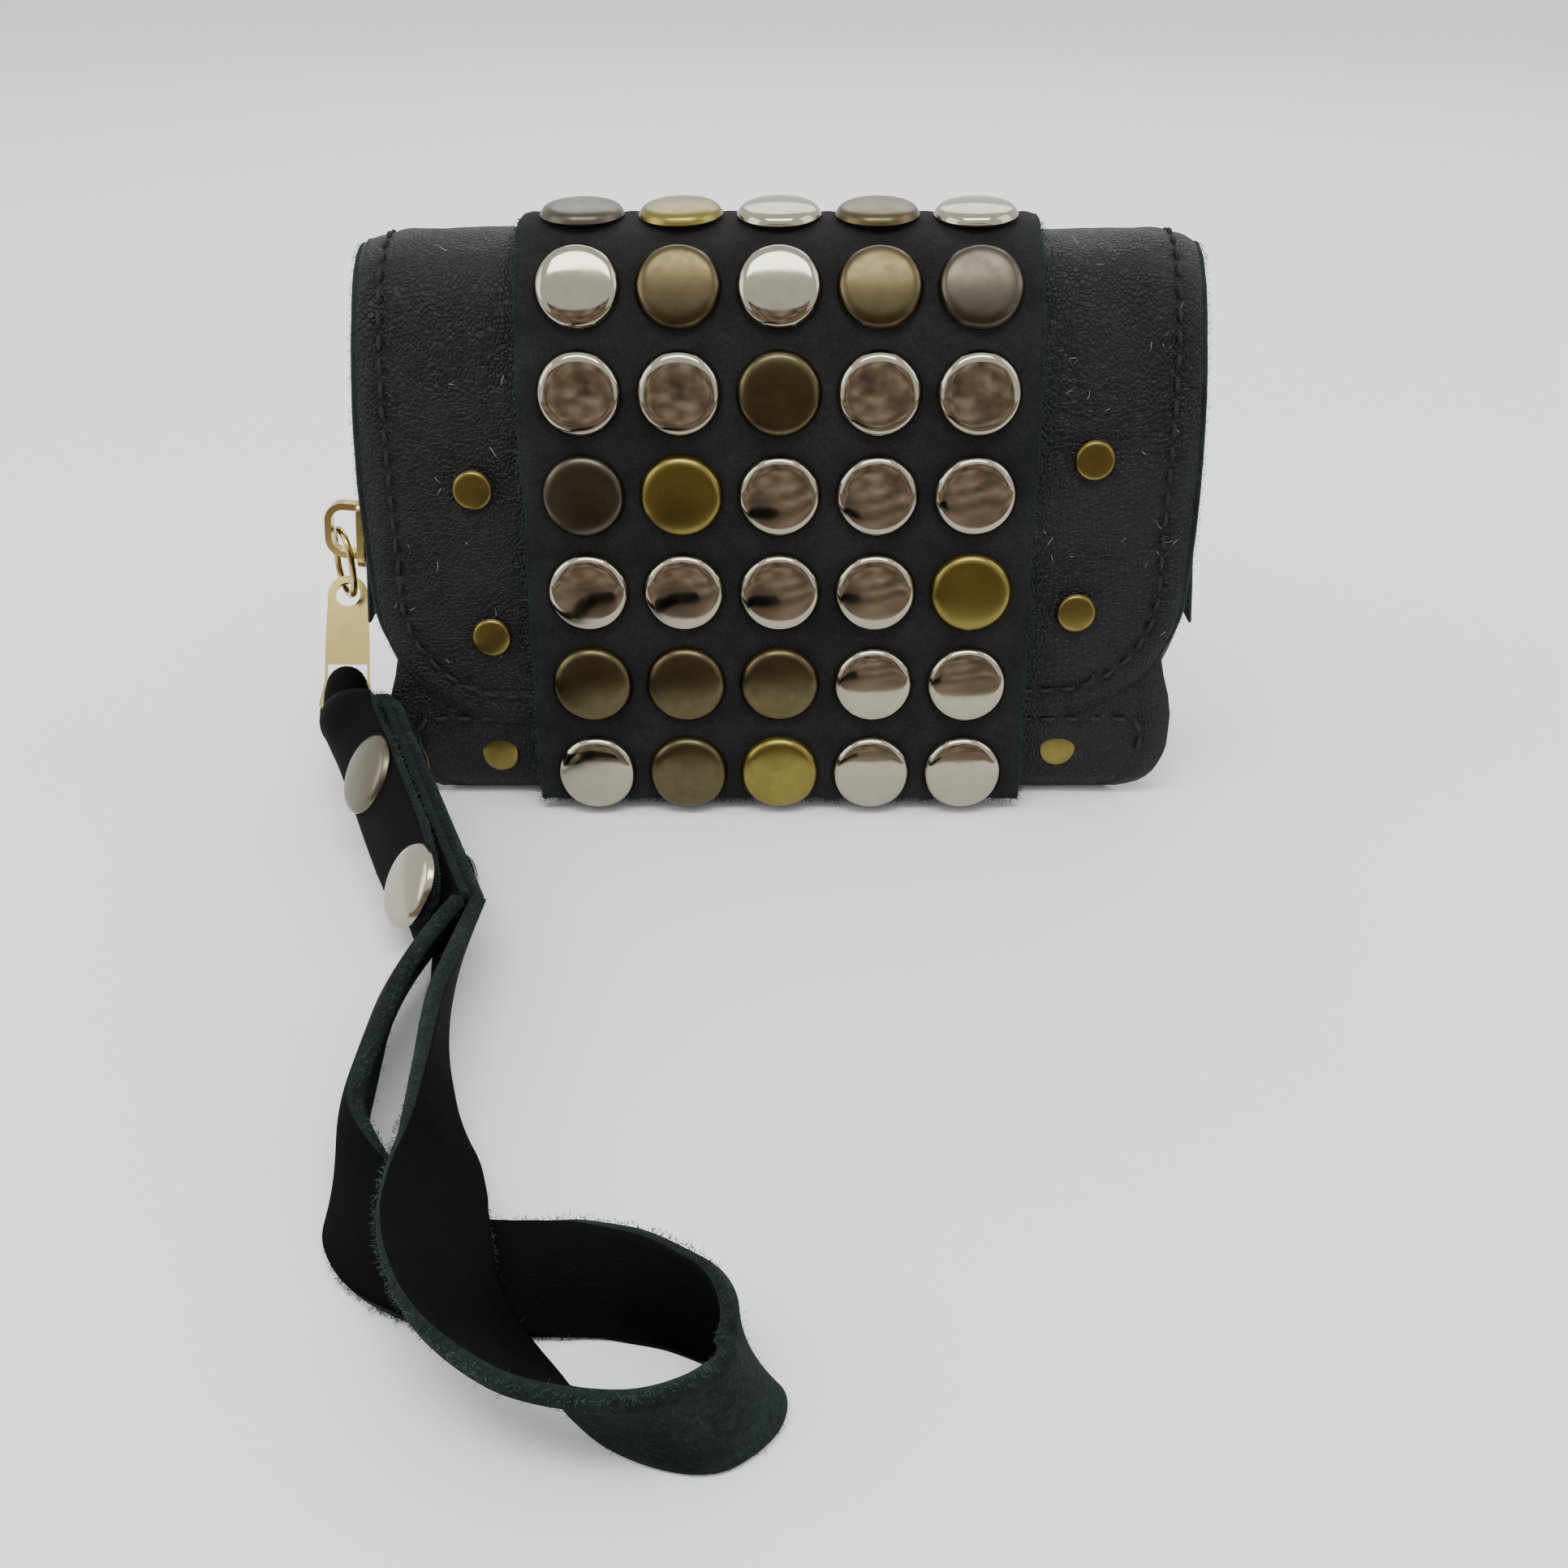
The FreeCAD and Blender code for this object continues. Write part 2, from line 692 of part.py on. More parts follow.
def chain_frame(height):
    """The slider's own frame on the left side: x out of the pouch, y across, z up the zip."""
    lean = math.radians(LEAN)
    out = Vector(-math.cos(lean), 0, math.sin(lean))
    up = Vector(math.sin(lean), 0, math.cos(lean))
    across = up.cross(out)
    base = Vector(side_x(height), size("zip_centre"), height)
    return Placement(base, Rotation(out, across, up, "ZXY"))


def make_stops():
    """A metal stop over both tapes under the last teeth, on each side of the pouch."""
    length = size("stop_length")
    block = Part.makeBox(size("tooth_thick"), 5.2, length,
                         Vector(-size("tooth_thick") / 2, -2.6, -length))
    slot = Part.makeBox(size("tape_thick"), 5.4, length + 2,
                        Vector(-size("tape_thick") / 2, -2.7, -length - 1))
    bridge = Part.makeBox(size("tape_thick"), 1.4, length,
                          Vector(-size("tape_thick") / 2, -0.7, -length))
    stop = block.cut(slot).fuse(bridge).removeSplitter()
    left = stop.copy()
    left.Placement = chain_frame(size("teeth_low_end") - 0.3)
    right = left.mirror(Vector(0, 0, 0), Vector(1, 0, 0))
    shape_node("zip_stops", Part.makeCompound([left, right]))


def make_slider():
    """The slider's two plates joined by its wedge, and the bail on the outer plate."""
    length, width = size("slider_length"), size("slider_width")
    plate, gap = size("slider_plate"), size("slider_gap") / 2
    shell = Part.makeBox(plate, width, length, Vector(gap, -width / 2, -length / 2))
    corners = [e for e in shell.Edges if abs(e.Length - plate) < 1e-6]
    shell = shell.makeFillet(2.2, corners)
    inner = shell.copy()
    inner.translate(Vector(-2 * gap - plate, 0, 0))
    wedge = Part.makeBox(2 * gap + 0.4, size("wedge_width"), size("wedge_length"),
                         Vector(-gap - 0.2, -size("wedge_width") / 2, -length / 2 + 0.4))
    body = shell.fuse([inner, wedge]).removeSplitter()
    place = chain_frame(size("slider_height"))
    shape_node("zip_slider", body, place)

    reach, half = size("bail_reach"), size("bail_length") / 2
    bend = 3.2
    face = gap + plate
    steps = [("line", reach - bend), ("arc", bend, 90.0), ("line", 2 * (half - bend)),
             ("arc", bend, 90.0), ("line", reach - bend)]
    edges = ribbon((face, -half), 0, steps, -size("bail_thick"), 0)
    arch = slab(edges, "XZ", -size("bail_width") / 2, size("bail_width") / 2)
    shape_node("slider_bail", arch, place)


RING_CENTRE = Vector(-71.3, 5.6, 33.0)
RING_ACROSS = Vector(0.5, -math.sqrt(0.75), 0)


def make_ring():
    """The oval wire ring that joins the pull to the bail."""
    half_width, half_length = size("ring_half_width"), size("ring_half_length")
    straight = half_length - half_width
    points = [Vector(half_width, 0, -straight), Vector(half_width, 0, straight),
              Vector(-half_width, 0, straight), Vector(-half_width, 0, -straight)]
    path = Part.Wire([
        Part.makeLine(points[0], points[1]),
        Part.Arc(points[1], Vector(0, 0, half_length), points[2]).toShape(),
        Part.makeLine(points[2], points[3]),
        Part.Arc(points[3], Vector(0, 0, -half_length), points[0]).toShape(),
    ])
    section = Part.Wire([Part.makeCircle(size("ring_wire") / 2, points[0], Vector(0, 0, 1))])
    ring = path.makePipeShell([section], True, False)
    up = Vector(0, 0, 1)
    turn = Rotation(RING_ACROSS, up.cross(RING_ACROSS), up, "ZXY")
    shape_node("pull_ring", ring, Placement(RING_CENTRE, turn))


PULL_HOLE = Vector(-71.4, 5.4, 27.25)
PULL_DOWN = Vector(0.7, -13.2, -16.0).normalize()
PULL_FACE = Vector(0.1, -0.99, 0)
PULL_FACE = (PULL_FACE - PULL_DOWN * PULL_FACE.dot(PULL_DOWN)).normalize()


def make_pull():
    """The flat pull tab: a hole for the ring, a waist, and a window for the strap."""
    top, end = size("pull_top_width") / 2, size("pull_end_width") / 2
    length, thick = size("pull_length"), size("pull_thick")
    lead = 3.2
    low = lead - length
    outline = [
        Part.Arc(Vector(-top, 0, 0), Vector(0, 0, lead), Vector(top, 0, 0)).toShape(),
    ]
    side = [(top, 0), (top + 0.3, -7), (end - 0.9, low + 4.6), (end, low + 0.6), (end - 0.6, low)]
    side += [(-x, z) for x, z in reversed(side)]
    for here, after in zip(side, side[1:]):
        outline.append(Part.makeLine(Vector(here[0], 0, here[1]), Vector(after[0], 0, after[1])))
    face = Part.Face(Part.Wire(outline))
    face.translate(Vector(0, -thick / 2, 0))
    tab = face.extrude(Vector(0, thick, 0))
    hole = Part.makeCylinder(size("pull_hole") / 2, 3 * thick, Vector(0, -1.5 * thick, 0),
                             Vector(0, 1, 0))
    window_width, window_length = size("pull_window_width"), size("pull_window_length")
    window = Part.makeBox(window_width, 3 * thick, window_length,
                          Vector(-window_width / 2, -1.5 * thick, low + 1.6))
    up = PULL_DOWN * -1
    across = up.cross(PULL_FACE * -1) * -1
    turn = Rotation(across, PULL_FACE * -1, up, "ZXY")
    shape_node("pull_tab", tab.cut([hole, window]), Placement(PULL_HOLE, turn))


# ---------------------------------------------------------------- wrist strap

STRAP_START = Vector(-71.0, -3.2, 16.2)
STRAP_END = Vector(-46.0, -61.0, 7.0)
STRAP_ALONG = (STRAP_END - STRAP_START).normalize()
STRAP_OUT = Vector(-0.743, -0.393, 0.542)
STRAP_OUT = (STRAP_OUT - STRAP_ALONG * STRAP_OUT.dot(STRAP_ALONG)).normalize()
STRAP_ACROSS = STRAP_ALONG.cross(STRAP_OUT)
STRAP_TURN = Rotation(STRAP_ACROSS, STRAP_OUT, STRAP_ACROSS.cross(STRAP_OUT), "ZXY")


def make_strap_tab():
    """The folded end of the strap: a narrow neck through the pull's window, then three
    layers of leather under two double caps. Its own Z points back towards the pull."""
    layers = 3 * size("strap_thick")
    length = (STRAP_END - STRAP_START).Length
    neck = size("strap_neck_length")
    wide, narrow = size("strap_width") / 2, size("strap_neck_width") / 2
    neck_end, shoulder = neck - 4, neck + 2
    outline = [(-narrow, 0), (-narrow, neck_end), (-wide, shoulder), (-wide, length),
               (wide, length), (wide, shoulder), (narrow, neck_end), (narrow, 0)]
    points = [Vector(x, 0, -along) for x, along in outline]
    face = Part.Face(Part.makePolygon(points + points[:1]))
    face.translate(Vector(0, -layers / 2, 0))
    bar = face.extrude(Vector(0, layers, 0))
    trim = Part.makeBox(2 * wide, layers, neck_end + 1)
    trim.translate(Vector(0, 0, -neck_end))
    neck_half = size("strap_neck_thick") / 2
    above, below = trim.copy(), trim.copy()
    above.translate(Vector(-wide, neck_half, 0))
    below.translate(Vector(-wide, -neck_half - layers, 0))
    bar = bar.cut([above, below])
    place = Placement(STRAP_START, STRAP_TURN)
    radius = size("post_width") / 2
    holes = []
    for along in (size("strap_cap_first"), size("strap_cap_second")):
        holes.append(Part.makeCylinder(radius, 2 * layers, Vector(0, -layers, -along), Vector(0, 1, 0)))
    shape_node("strap_tab", bar.cut(holes), place)

    height = size("strap_cap_height")
    cap_radius = size("strap_cap_width") / 2
    cap = hollow_dome(cap_radius, height, size("cap_sheet"))
    inner = height - size("cap_sheet") - 0.1
    post = Part.makeCylinder(radius, layers + 2 * inner)
    caps, posts = [], []
    for along in (size("strap_cap_first"), size("strap_cap_second")):
        centre = STRAP_START + STRAP_ALONG * along
        caps.append(facing(centre + STRAP_OUT * (layers / 2), STRAP_OUT))
        caps.append(facing(centre - STRAP_OUT * (layers / 2), STRAP_OUT * -1))
        posts.append(facing(centre - STRAP_OUT * (layers / 2 + inner), STRAP_OUT))
    shape_node("strap_caps", group(cap, caps))
    shape_node("strap_posts", group(post, posts))


LOOP_ROUTE = [
    (-50.2, -73.0, 7.0),
    (-50.0, -88.0, 6.0),
    (-49.2, -103.0, 5.8),
    (-46.2, -115.0, 4.6),
    (-38.5, -122.2, 3.2),
    (-28.0, -124.6, 3.4),
    (-17.0, -126.5, 5.0),
    (-7.0, -130.5, 5.75),
    (-1.5, -137.0, 5.75),
    (-5.5, -143.2, 5.75),
    (-15.0, -143.6, 6.0),
    (-25.0, -139.0, 7.0),
    (-33.0, -131.5, 9.0),
    (-37.5, -121.0, 10.0),
    (-39.0, -109.0, 9.0),
    (-42.5, -97.0, 8.0),
    (-45.0, -84.0, 7.2),
    (-43.6, -72.0, 6.8),
]


def tube_path(points):
    """Straight runs joined by tangent arcs, each as large as its two runs allow."""
    edges, radii = [], []
    start = points[0]
    for before, corner, after in zip(points, points[1:], points[2:]):
        back, ahead = before - corner, after - corner
        setback = 0.45 * min(back.Length, ahead.Length)
        back, ahead = back.normalize(), ahead.normalize()
        half_turn = (math.pi - math.acos(max(-1, min(1, back.dot(ahead))))) / 2
        radius = setback / math.tan(half_turn)
        radii.append(radius)
        middle = (back + ahead).normalize()
        centre = corner + middle * (radius / math.cos(half_turn))
        first, last = corner + back * setback, corner + ahead * setback
        edges.append(Part.LineSegment(start, first).toShape())
        edges.append(Part.Arc(first, centre - middle * radius, last).toShape())
        start = last
    edges.append(Part.LineSegment(start, points[-1]).toShape())
    return Part.Wire(edges), radii


def make_loop():
    """The strap's free loop, laid on the surface that the wallet stands on."""
    spread = size("loop_tube_width") / 2 + 0.1
    first = STRAP_END + STRAP_OUT * spread
    last = STRAP_END - STRAP_OUT * spread
    points = [first] + [Vector(*p) for p in LOOP_ROUTE] + [last]
    path, radii = tube_path(points)
    radius = size("loop_tube_width") / 2
    section = Part.Wire([Part.makeCircle(radius, points[0], points[1] - points[0])])
    tube = path.makePipeShell([section], True, False)
    expected = math.pi * radius ** 2 * path.Length
    print("loop length %.1f, volume %.1f against %.1f" % (path.Length, tube.Volume, expected))
    print("loop radii", [round(r, 1) for r in radii])
    shape_node("strap_loop", tube)


# ---------------------------------------------------------------- build, check, write

make_outer_leather()
make_flap()
make_band()
make_caps()
flap_places = make_rivets("flap_rivets", "flap_rivet_washers", FLAP_RIVETS, 0, FLAP_INSIDE)
cuff_places = make_rivets("cuff_rivets", "cuff_rivet_washers", CUFF_RIVETS, CUFF_OUT,
                          size("leather_thick"))
make_snaps()
drill("flap_leather", flap_places, size("rivet_shank") / 2, 3)
drill("flap_lining", flap_places, size("rivet_shank") / 2, 3)
drill("outer_leather", cuff_places, size("rivet_shank") / 2, 3)
make_card_panels()
make_pouch()
make_tapes()
make_teeth()
make_stops()
make_slider()
make_ring()
make_pull()
make_strap_tab()
make_loop()
doc.recompute()

NODES = [
    "outer_leather", "card_panel_1", "card_panel_2", "card_panel_3",
    "pouch_front", "pouch_back", "coin_divider", "zip_tape_front", "zip_tape_back",
    "zip_teeth_front", "zip_teeth_back", "zip_stops", "snap_studs", "cuff_rivets",
    "cuff_rivet_washers", "flap_leather", "flap_lining", "band_front", "caps_nickel",
    "caps_brass", "caps_antique_brass", "caps_antique_grey", "cap_posts", "snap_sockets",
    "flap_rivets", "flap_rivet_washers", "zip_slider", "slider_bail", "pull_ring",
    "pull_tab", "strap_tab", "strap_caps", "strap_posts", "strap_loop",
]

for item in doc.Objects:
    bad = [state for state in item.State if state in ("Invalid", "Error")]
    if bad:
        raise RuntimeError("%s is %s" % (item.Label, bad))

os.makedirs("parts", exist_ok=True)
for label in NODES:
    shape = doc.getObjectsByLabel(label)[0].Shape
    if shape.isNull() or not shape.isValid() or shape.Volume <= 0:
        raise RuntimeError("%s has no valid shape" % label)
    shape.exportStep("parts/%s.step" % label)
print("wrote %d nodes" % len(NODES))
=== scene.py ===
"""Looks for the studded flap wallet: leather, stitching, fuzz, strap, metals, light and camera.

Lengths in this file are millimetres until a mesh is made; the frame is in metres.
"""

import math
import random

import bpy
import numpy as np
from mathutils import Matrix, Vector
from mathutils import noise


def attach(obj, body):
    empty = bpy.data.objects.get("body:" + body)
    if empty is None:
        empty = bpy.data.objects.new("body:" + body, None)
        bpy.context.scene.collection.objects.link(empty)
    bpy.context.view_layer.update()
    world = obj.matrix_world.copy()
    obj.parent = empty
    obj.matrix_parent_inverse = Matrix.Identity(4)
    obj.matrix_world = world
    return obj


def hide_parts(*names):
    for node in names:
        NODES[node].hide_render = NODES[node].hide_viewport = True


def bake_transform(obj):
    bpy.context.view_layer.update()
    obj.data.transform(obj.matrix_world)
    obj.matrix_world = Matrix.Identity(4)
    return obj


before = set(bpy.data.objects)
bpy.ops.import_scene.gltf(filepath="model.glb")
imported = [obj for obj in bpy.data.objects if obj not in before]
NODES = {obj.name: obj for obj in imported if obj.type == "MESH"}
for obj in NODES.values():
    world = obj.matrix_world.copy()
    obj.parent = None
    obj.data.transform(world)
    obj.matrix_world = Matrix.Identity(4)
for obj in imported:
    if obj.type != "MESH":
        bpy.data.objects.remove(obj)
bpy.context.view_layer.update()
MM = 0.001
dice = random.Random(7)


# --- materials

def set_inputs(node, values):
    """Sets inputs of a node by name or number."""
    for socket, value in values.items():
        node.inputs[socket].default_value = value


def add_node(tree, kind, links, values, operation=None):
    """A shader node with some inputs linked and others set."""
    node = tree.nodes.new("ShaderNode" + kind)
    if operation:
        node.operation = operation
    for socket, source in links.items():
        tree.links.new(source, node.inputs[socket])
    set_inputs(node, values)
    return node


def new_material(name, colour, roughness, metallic=0.0):
    """A material with its Principled shader, node tree and texture coordinates."""
    material = bpy.data.materials.new(name)
    material.use_nodes = True
    tree = material.node_tree
    shader = tree.nodes["Principled BSDF"]
    set_inputs(shader, {"Base Color": (*colour, 1), "Roughness": roughness, "Metallic": metallic})
    return material, shader, tree, tree.nodes.new("ShaderNodeTexCoord").outputs["Object"]


def noise_node(tree, place, scale, detail=4.0, rough=0.55):
    """A noise texture's value."""
    values = {"Scale": scale, "Detail": detail, "Roughness": rough}
    return add_node(tree, "TexNoise", {"Vector": place}, values).outputs["Fac"]


def cell_node(tree, place, scale):
    """The distance to the edge of cells."""
    node = add_node(tree, "TexVoronoi", {"Vector": place}, {"Scale": scale})
    node.feature = "DISTANCE_TO_EDGE"
    return node.outputs["Distance"]


def ramp(tree, value, stops):
    """A colour ramp over a value; each stop is (position, colour)."""
    node = add_node(tree, "ValToRGB", {"Fac": value}, {})
    elements = node.color_ramp.elements
    while len(elements) < len(stops):
        elements.new(0.5)
    for element, (position, colour) in zip(elements, stops):
        element.position = position
        element.color = (*colour, 1)
    return node.outputs["Color"]


def paint(tree, target, value, stops):
    """Drives a shader input by a colour ramp over a value."""
    tree.links.new(ramp(tree, value, stops), target)


def grey(value):
    """A grey colour."""
    return (value, value, value)


def product(tree, first, second):
    """Two values multiplied."""
    return add_node(tree, "Math", {0: first, 1: second}, {}, "MULTIPLY").outputs[0]


def add_bump(tree, shader, height, distance, strength=1.0, under=None):
    """A bump of a height field, in metres, on top of an earlier one."""
    links = {"Height": height}
    if under is not None:
        links["Normal"] = under
    node = add_node(tree, "Bump", links, {"Strength": strength, "Distance": distance})
    tree.links.new(node.outputs["Normal"], shader.inputs["Normal"])
    return node.outputs["Normal"]


def warped(tree, place, scale, amount):
    """Coordinates pushed about by noise, so that cells and threads are uneven."""
    cloud = add_node(tree, "TexNoise", {"Vector": place}, {"Scale": scale})
    links = {0: cloud.outputs["Color"], 2: place}
    return add_node(tree, "VectorMath", links, {1: grey(amount)}, "MULTIPLY_ADD").outputs["Vector"]


def leather(name, dark, light, roughness, grain_scale, grain_depth, shine=0.24):
    """Leather with pebbled grain, fine creases and uneven dye."""
    material, shader, tree, place = new_material(name, dark, roughness)
    cells = cell_node(tree, warped(tree, place, 260.0, 0.0009), grain_scale)
    pebbles = ramp(tree, cells, [(0.0, grey(0.0)), (0.22, grey(0.8)), (0.6, grey(1.0))])
    patches = noise_node(tree, place, 70.0, 5.0)
    fine = noise_node(tree, place, 2600.0, 3.0)
    paint(tree, shader.inputs["Base Color"], patches, [(0.35, dark), (0.7, light)])
    paint(tree, shader.inputs["Roughness"], patches,
          [(0.3, grey(roughness - 0.07)), (0.75, grey(roughness + 0.1))])
    creases = noise_node(tree, warped(tree, place, 90.0, 0.004), 210.0, 6.0, 0.6)
    wide = add_bump(tree, shader, creases, 0.00024, 0.5)
    grain = add_bump(tree, shader, pebbles, grain_depth, 0.9, wide)
    add_bump(tree, shader, fine, 0.00003, 0.5, grain)
    set_inputs(shader, {"Specular IOR Level": shine})
    return material


def napped(name, dark, light, depth, sheen, tint, nap_scale=2400.0):
    """Nubuck or suede: a short uneven nap with lighter brushed patches and flecks."""
    material, shader, tree, place = new_material(name, dark, 0.92)
    nap = noise_node(tree, warped(tree, place, 900.0, 0.0006), nap_scale, 5.0, 0.7)
    brushed = noise_node(tree, place, 110.0, 6.0, 0.65)
    paint(tree, shader.inputs["Base Color"], product(tree, nap, brushed), [(0.14, dark), (0.42, light)])
    soft = add_bump(tree, shader, brushed, 0.0004, 0.5)
    add_bump(tree, shader, nap, depth, 0.9, soft)
    set_inputs(shader, {"Specular IOR Level": 0.15, "Sheen Weight": sheen, "Sheen Roughness": 0.45,
                        "Sheen Tint": (*tint, 1)})
    return material


def plated(name, colour, tarnish, roughness, worn=0.5):
    """Plated metal: a clean tone, a tarnished tone in patches, and hair scratches."""
    material, shader, tree, place = new_material(name, colour, roughness, 1.0)
    patches = noise_node(tree, place, 420.0, 6.0, 0.6)
    paint(tree, shader.inputs["Base Color"], patches, [(worn - 0.15, colour), (worn + 0.25, tarnish)])
    paint(tree, shader.inputs["Roughness"], patches, [(0.3, grey(roughness)), (0.8, grey(roughness + 0.09))])
    hairs = noise_node(tree, warped(tree, place, 300.0, 0.003), 1500.0, 2.0)
    add_bump(tree, shader, hairs, 0.00001, 0.35)
    return material


def woven(name, dark, light, pitch):
    """Woven tape: two crossed sets of threads."""
    material, shader, tree, place = new_material(name, dark, 0.85)
    heights = []
    for axis in ("Y", "Z"):
        values = {"Scale": 0.31 / pitch, "Distortion": 1.2, "Detail Scale": 2.0}
        wave = add_node(tree, "TexWave", {"Vector": place}, values)
        wave.bands_direction = axis
        heights.append(wave.outputs["Fac"])
    both = product(tree, *heights)
    paint(tree, shader.inputs["Base Color"], both, [(0.1, dark), (0.8, light)])
    add_bump(tree, shader, both, 0.00012, 0.8)
    return material


BLACK = (0.0042, 0.0042, 0.0048)
BLACK_LIT = (0.0115, 0.0115, 0.0122)
TEAL_DARK = (0.0016, 0.0030, 0.0030)
TEAL_LIT = (0.0125, 0.0205, 0.0190)

GRAINED = leather("leather_grained", BLACK, BLACK_LIT, 0.50, 1300.0, 0.00022, 0.22)
SMOOTH = leather("leather_smooth", grey(0.004), (0.010, 0.010, 0.0095), 0.56, 1500.0, 0.00006)
STRAP = leather("leather_strap", grey(0.0012), (0.0034, 0.0036, 0.0034), 0.72, 1900.0, 0.00005, 0.05)
NUBUCK = napped("nubuck_black", (0.0050, 0.0050, 0.0049), (0.0175, 0.0175, 0.0170), 0.00008, 0.04,
                (0.8, 0.8, 0.78))
SUEDE = napped("suede_teal", TEAL_DARK, TEAL_LIT, 0.0005, 0.05, (0.55, 0.75, 0.72), 1300.0)
FIBRE = napped("fibre_teal", (0.0120, 0.0200, 0.0192), (0.050, 0.078, 0.073), 0.00002, 0.05,
               (0.5, 0.8, 0.78))
LINT = napped("lint_pale", (0.35, 0.35, 0.34), (0.6, 0.6, 0.58), 0.00001, 0.2, (1, 1, 1))
LINING = woven("lining_black", (0.009, 0.009, 0.010), (0.014, 0.014, 0.015), 0.00035)
TAPE = woven("tape_black", (0.007, 0.007, 0.008), (0.035, 0.035, 0.037), 0.00045)
THREAD = woven("thread_black", (0.004, 0.004, 0.004), (0.016, 0.016, 0.016), 0.0002)

NICKEL = plated("nickel_bright", (0.335, 0.315, 0.240), (0.285, 0.265, 0.200), 0.07, 0.6)
BRASS = plated("brass_cap", (0.205, 0.170, 0.046), (0.170, 0.138, 0.037), 0.26, 0.5)
ANTIQUE = plated("antique_brass", (0.108, 0.088, 0.045), (0.078, 0.063, 0.032), 0.26, 0.45)
GREY_ANTIQUE = plated("antique_grey", (0.092, 0.080, 0.058), (0.066, 0.057, 0.042), 0.28, 0.45)
RIVET = plated("brass_rivet", (0.20, 0.165, 0.047), (0.14, 0.112, 0.034), 0.30, 0.5)
GOLD = plated("gold_pale", (0.46, 0.37, 0.135), (0.36, 0.28, 0.09), 0.15, 0.55)
TOOTH = plated("gold_teeth", (0.62, 0.46, 0.17), (0.34, 0.24, 0.09), 0.24, 0.5)


BETWEEN_CAPS = -42 * MM


def two_tone_caps():
    """The strap's caps: the upper one is antique nickel and the lower one is clean."""
    material, shader, tree, place = new_material("strap_caps_nickel", grey(0.5), 0.2, 1.0)
    split = add_node(tree, "SeparateXYZ", {0: place}, {})
    lower = add_node(tree, "Math", {0: split.outputs["Y"]}, {1: BETWEEN_CAPS}, "LESS_THAN").outputs[0]
    tones = [(0.0, (0.125, 0.112, 0.078)), (1.0, (0.335, 0.315, 0.245))]
    paint(tree, shader.inputs["Base Color"], lower, tones)
    paint(tree, shader.inputs["Roughness"], lower, [(0.0, grey(0.32)), (1.0, grey(0.16))])
    add_bump(tree, shader, noise_node(tree, place, 900.0, 5.0), 0.00001, 0.4)
    return material


STRAP_CAP = two_tone_caps()


def dress(names, material):
    """Gives CAD nodes that keep their shape a finished material."""
    for name in names:
        mesh = NODES[name].data
        mesh.materials.clear()
        mesh.materials.append(material)


dress(["snap_studs", "snap_sockets", "cap_posts", "strap_posts"], NICKEL)
dress(["flap_rivet_washers", "cuff_rivet_washers"], RIVET)
dress(["zip_slider", "slider_bail", "pull_ring", "pull_tab"], GOLD)
dress(["zip_teeth_front", "zip_teeth_back", "zip_stops"], TOOTH)

for name in ("zip_slider", "slider_bail", "pull_tab"):
    bevel = NODES[name].modifiers.new("soft_edges", "BEVEL")
    bevel.width = 0.22 * MM
    bevel.segments = 3
    bevel.limit_method = "ANGLE"
    bevel.angle_limit = math.radians(40)
    bevel.harden_normals = True


# --- mesh helpers

FLOOR_CLEAR = 0.02


def put(name, data):
    """An object of some data, in the scene."""
    made = bpy.data.objects.new(name, data)
    bpy.context.scene.collection.objects.link(made)
    return made


def make_piece(name, points, faces, materials, body, slots=None):
    """A smooth-shaded mesh from points in millimetres, riding on a body unless that is None."""
    points = np.array(points, float)
    points[:, 2] = np.maximum(points[:, 2], FLOOR_CLEAR)
    mesh = bpy.data.meshes.new(name)
    mesh.from_pydata([tuple(p) for p in (points * MM).tolist()], [], faces)
    for material in materials:
        mesh.materials.append(material)
    if slots is not None:
        mesh.polygons.foreach_set("material_index", slots)
    mesh.polygons.foreach_set("use_smooth", [True] * len(faces))
    mesh.set_sharp_from_angle(angle=math.radians(75))
    mesh.update()
    piece = put(name, mesh)
    if body:
        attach(piece, body)
    return piece


def unit(rows):
    """Vectors at length 1."""
    rows = np.asarray(rows, float)
    return rows / np.maximum(np.linalg.norm(rows, axis=-1, keepdims=True), 1e-9)


def grids(rows):
    """A grid of points and a grid of normals, from rows of (point, normal) pairs."""
    points = np.array([[pair[0] for pair in row] for row in rows], float)
    normals = np.array([[pair[1] for pair in row] for row in rows], float)
    return points, normals


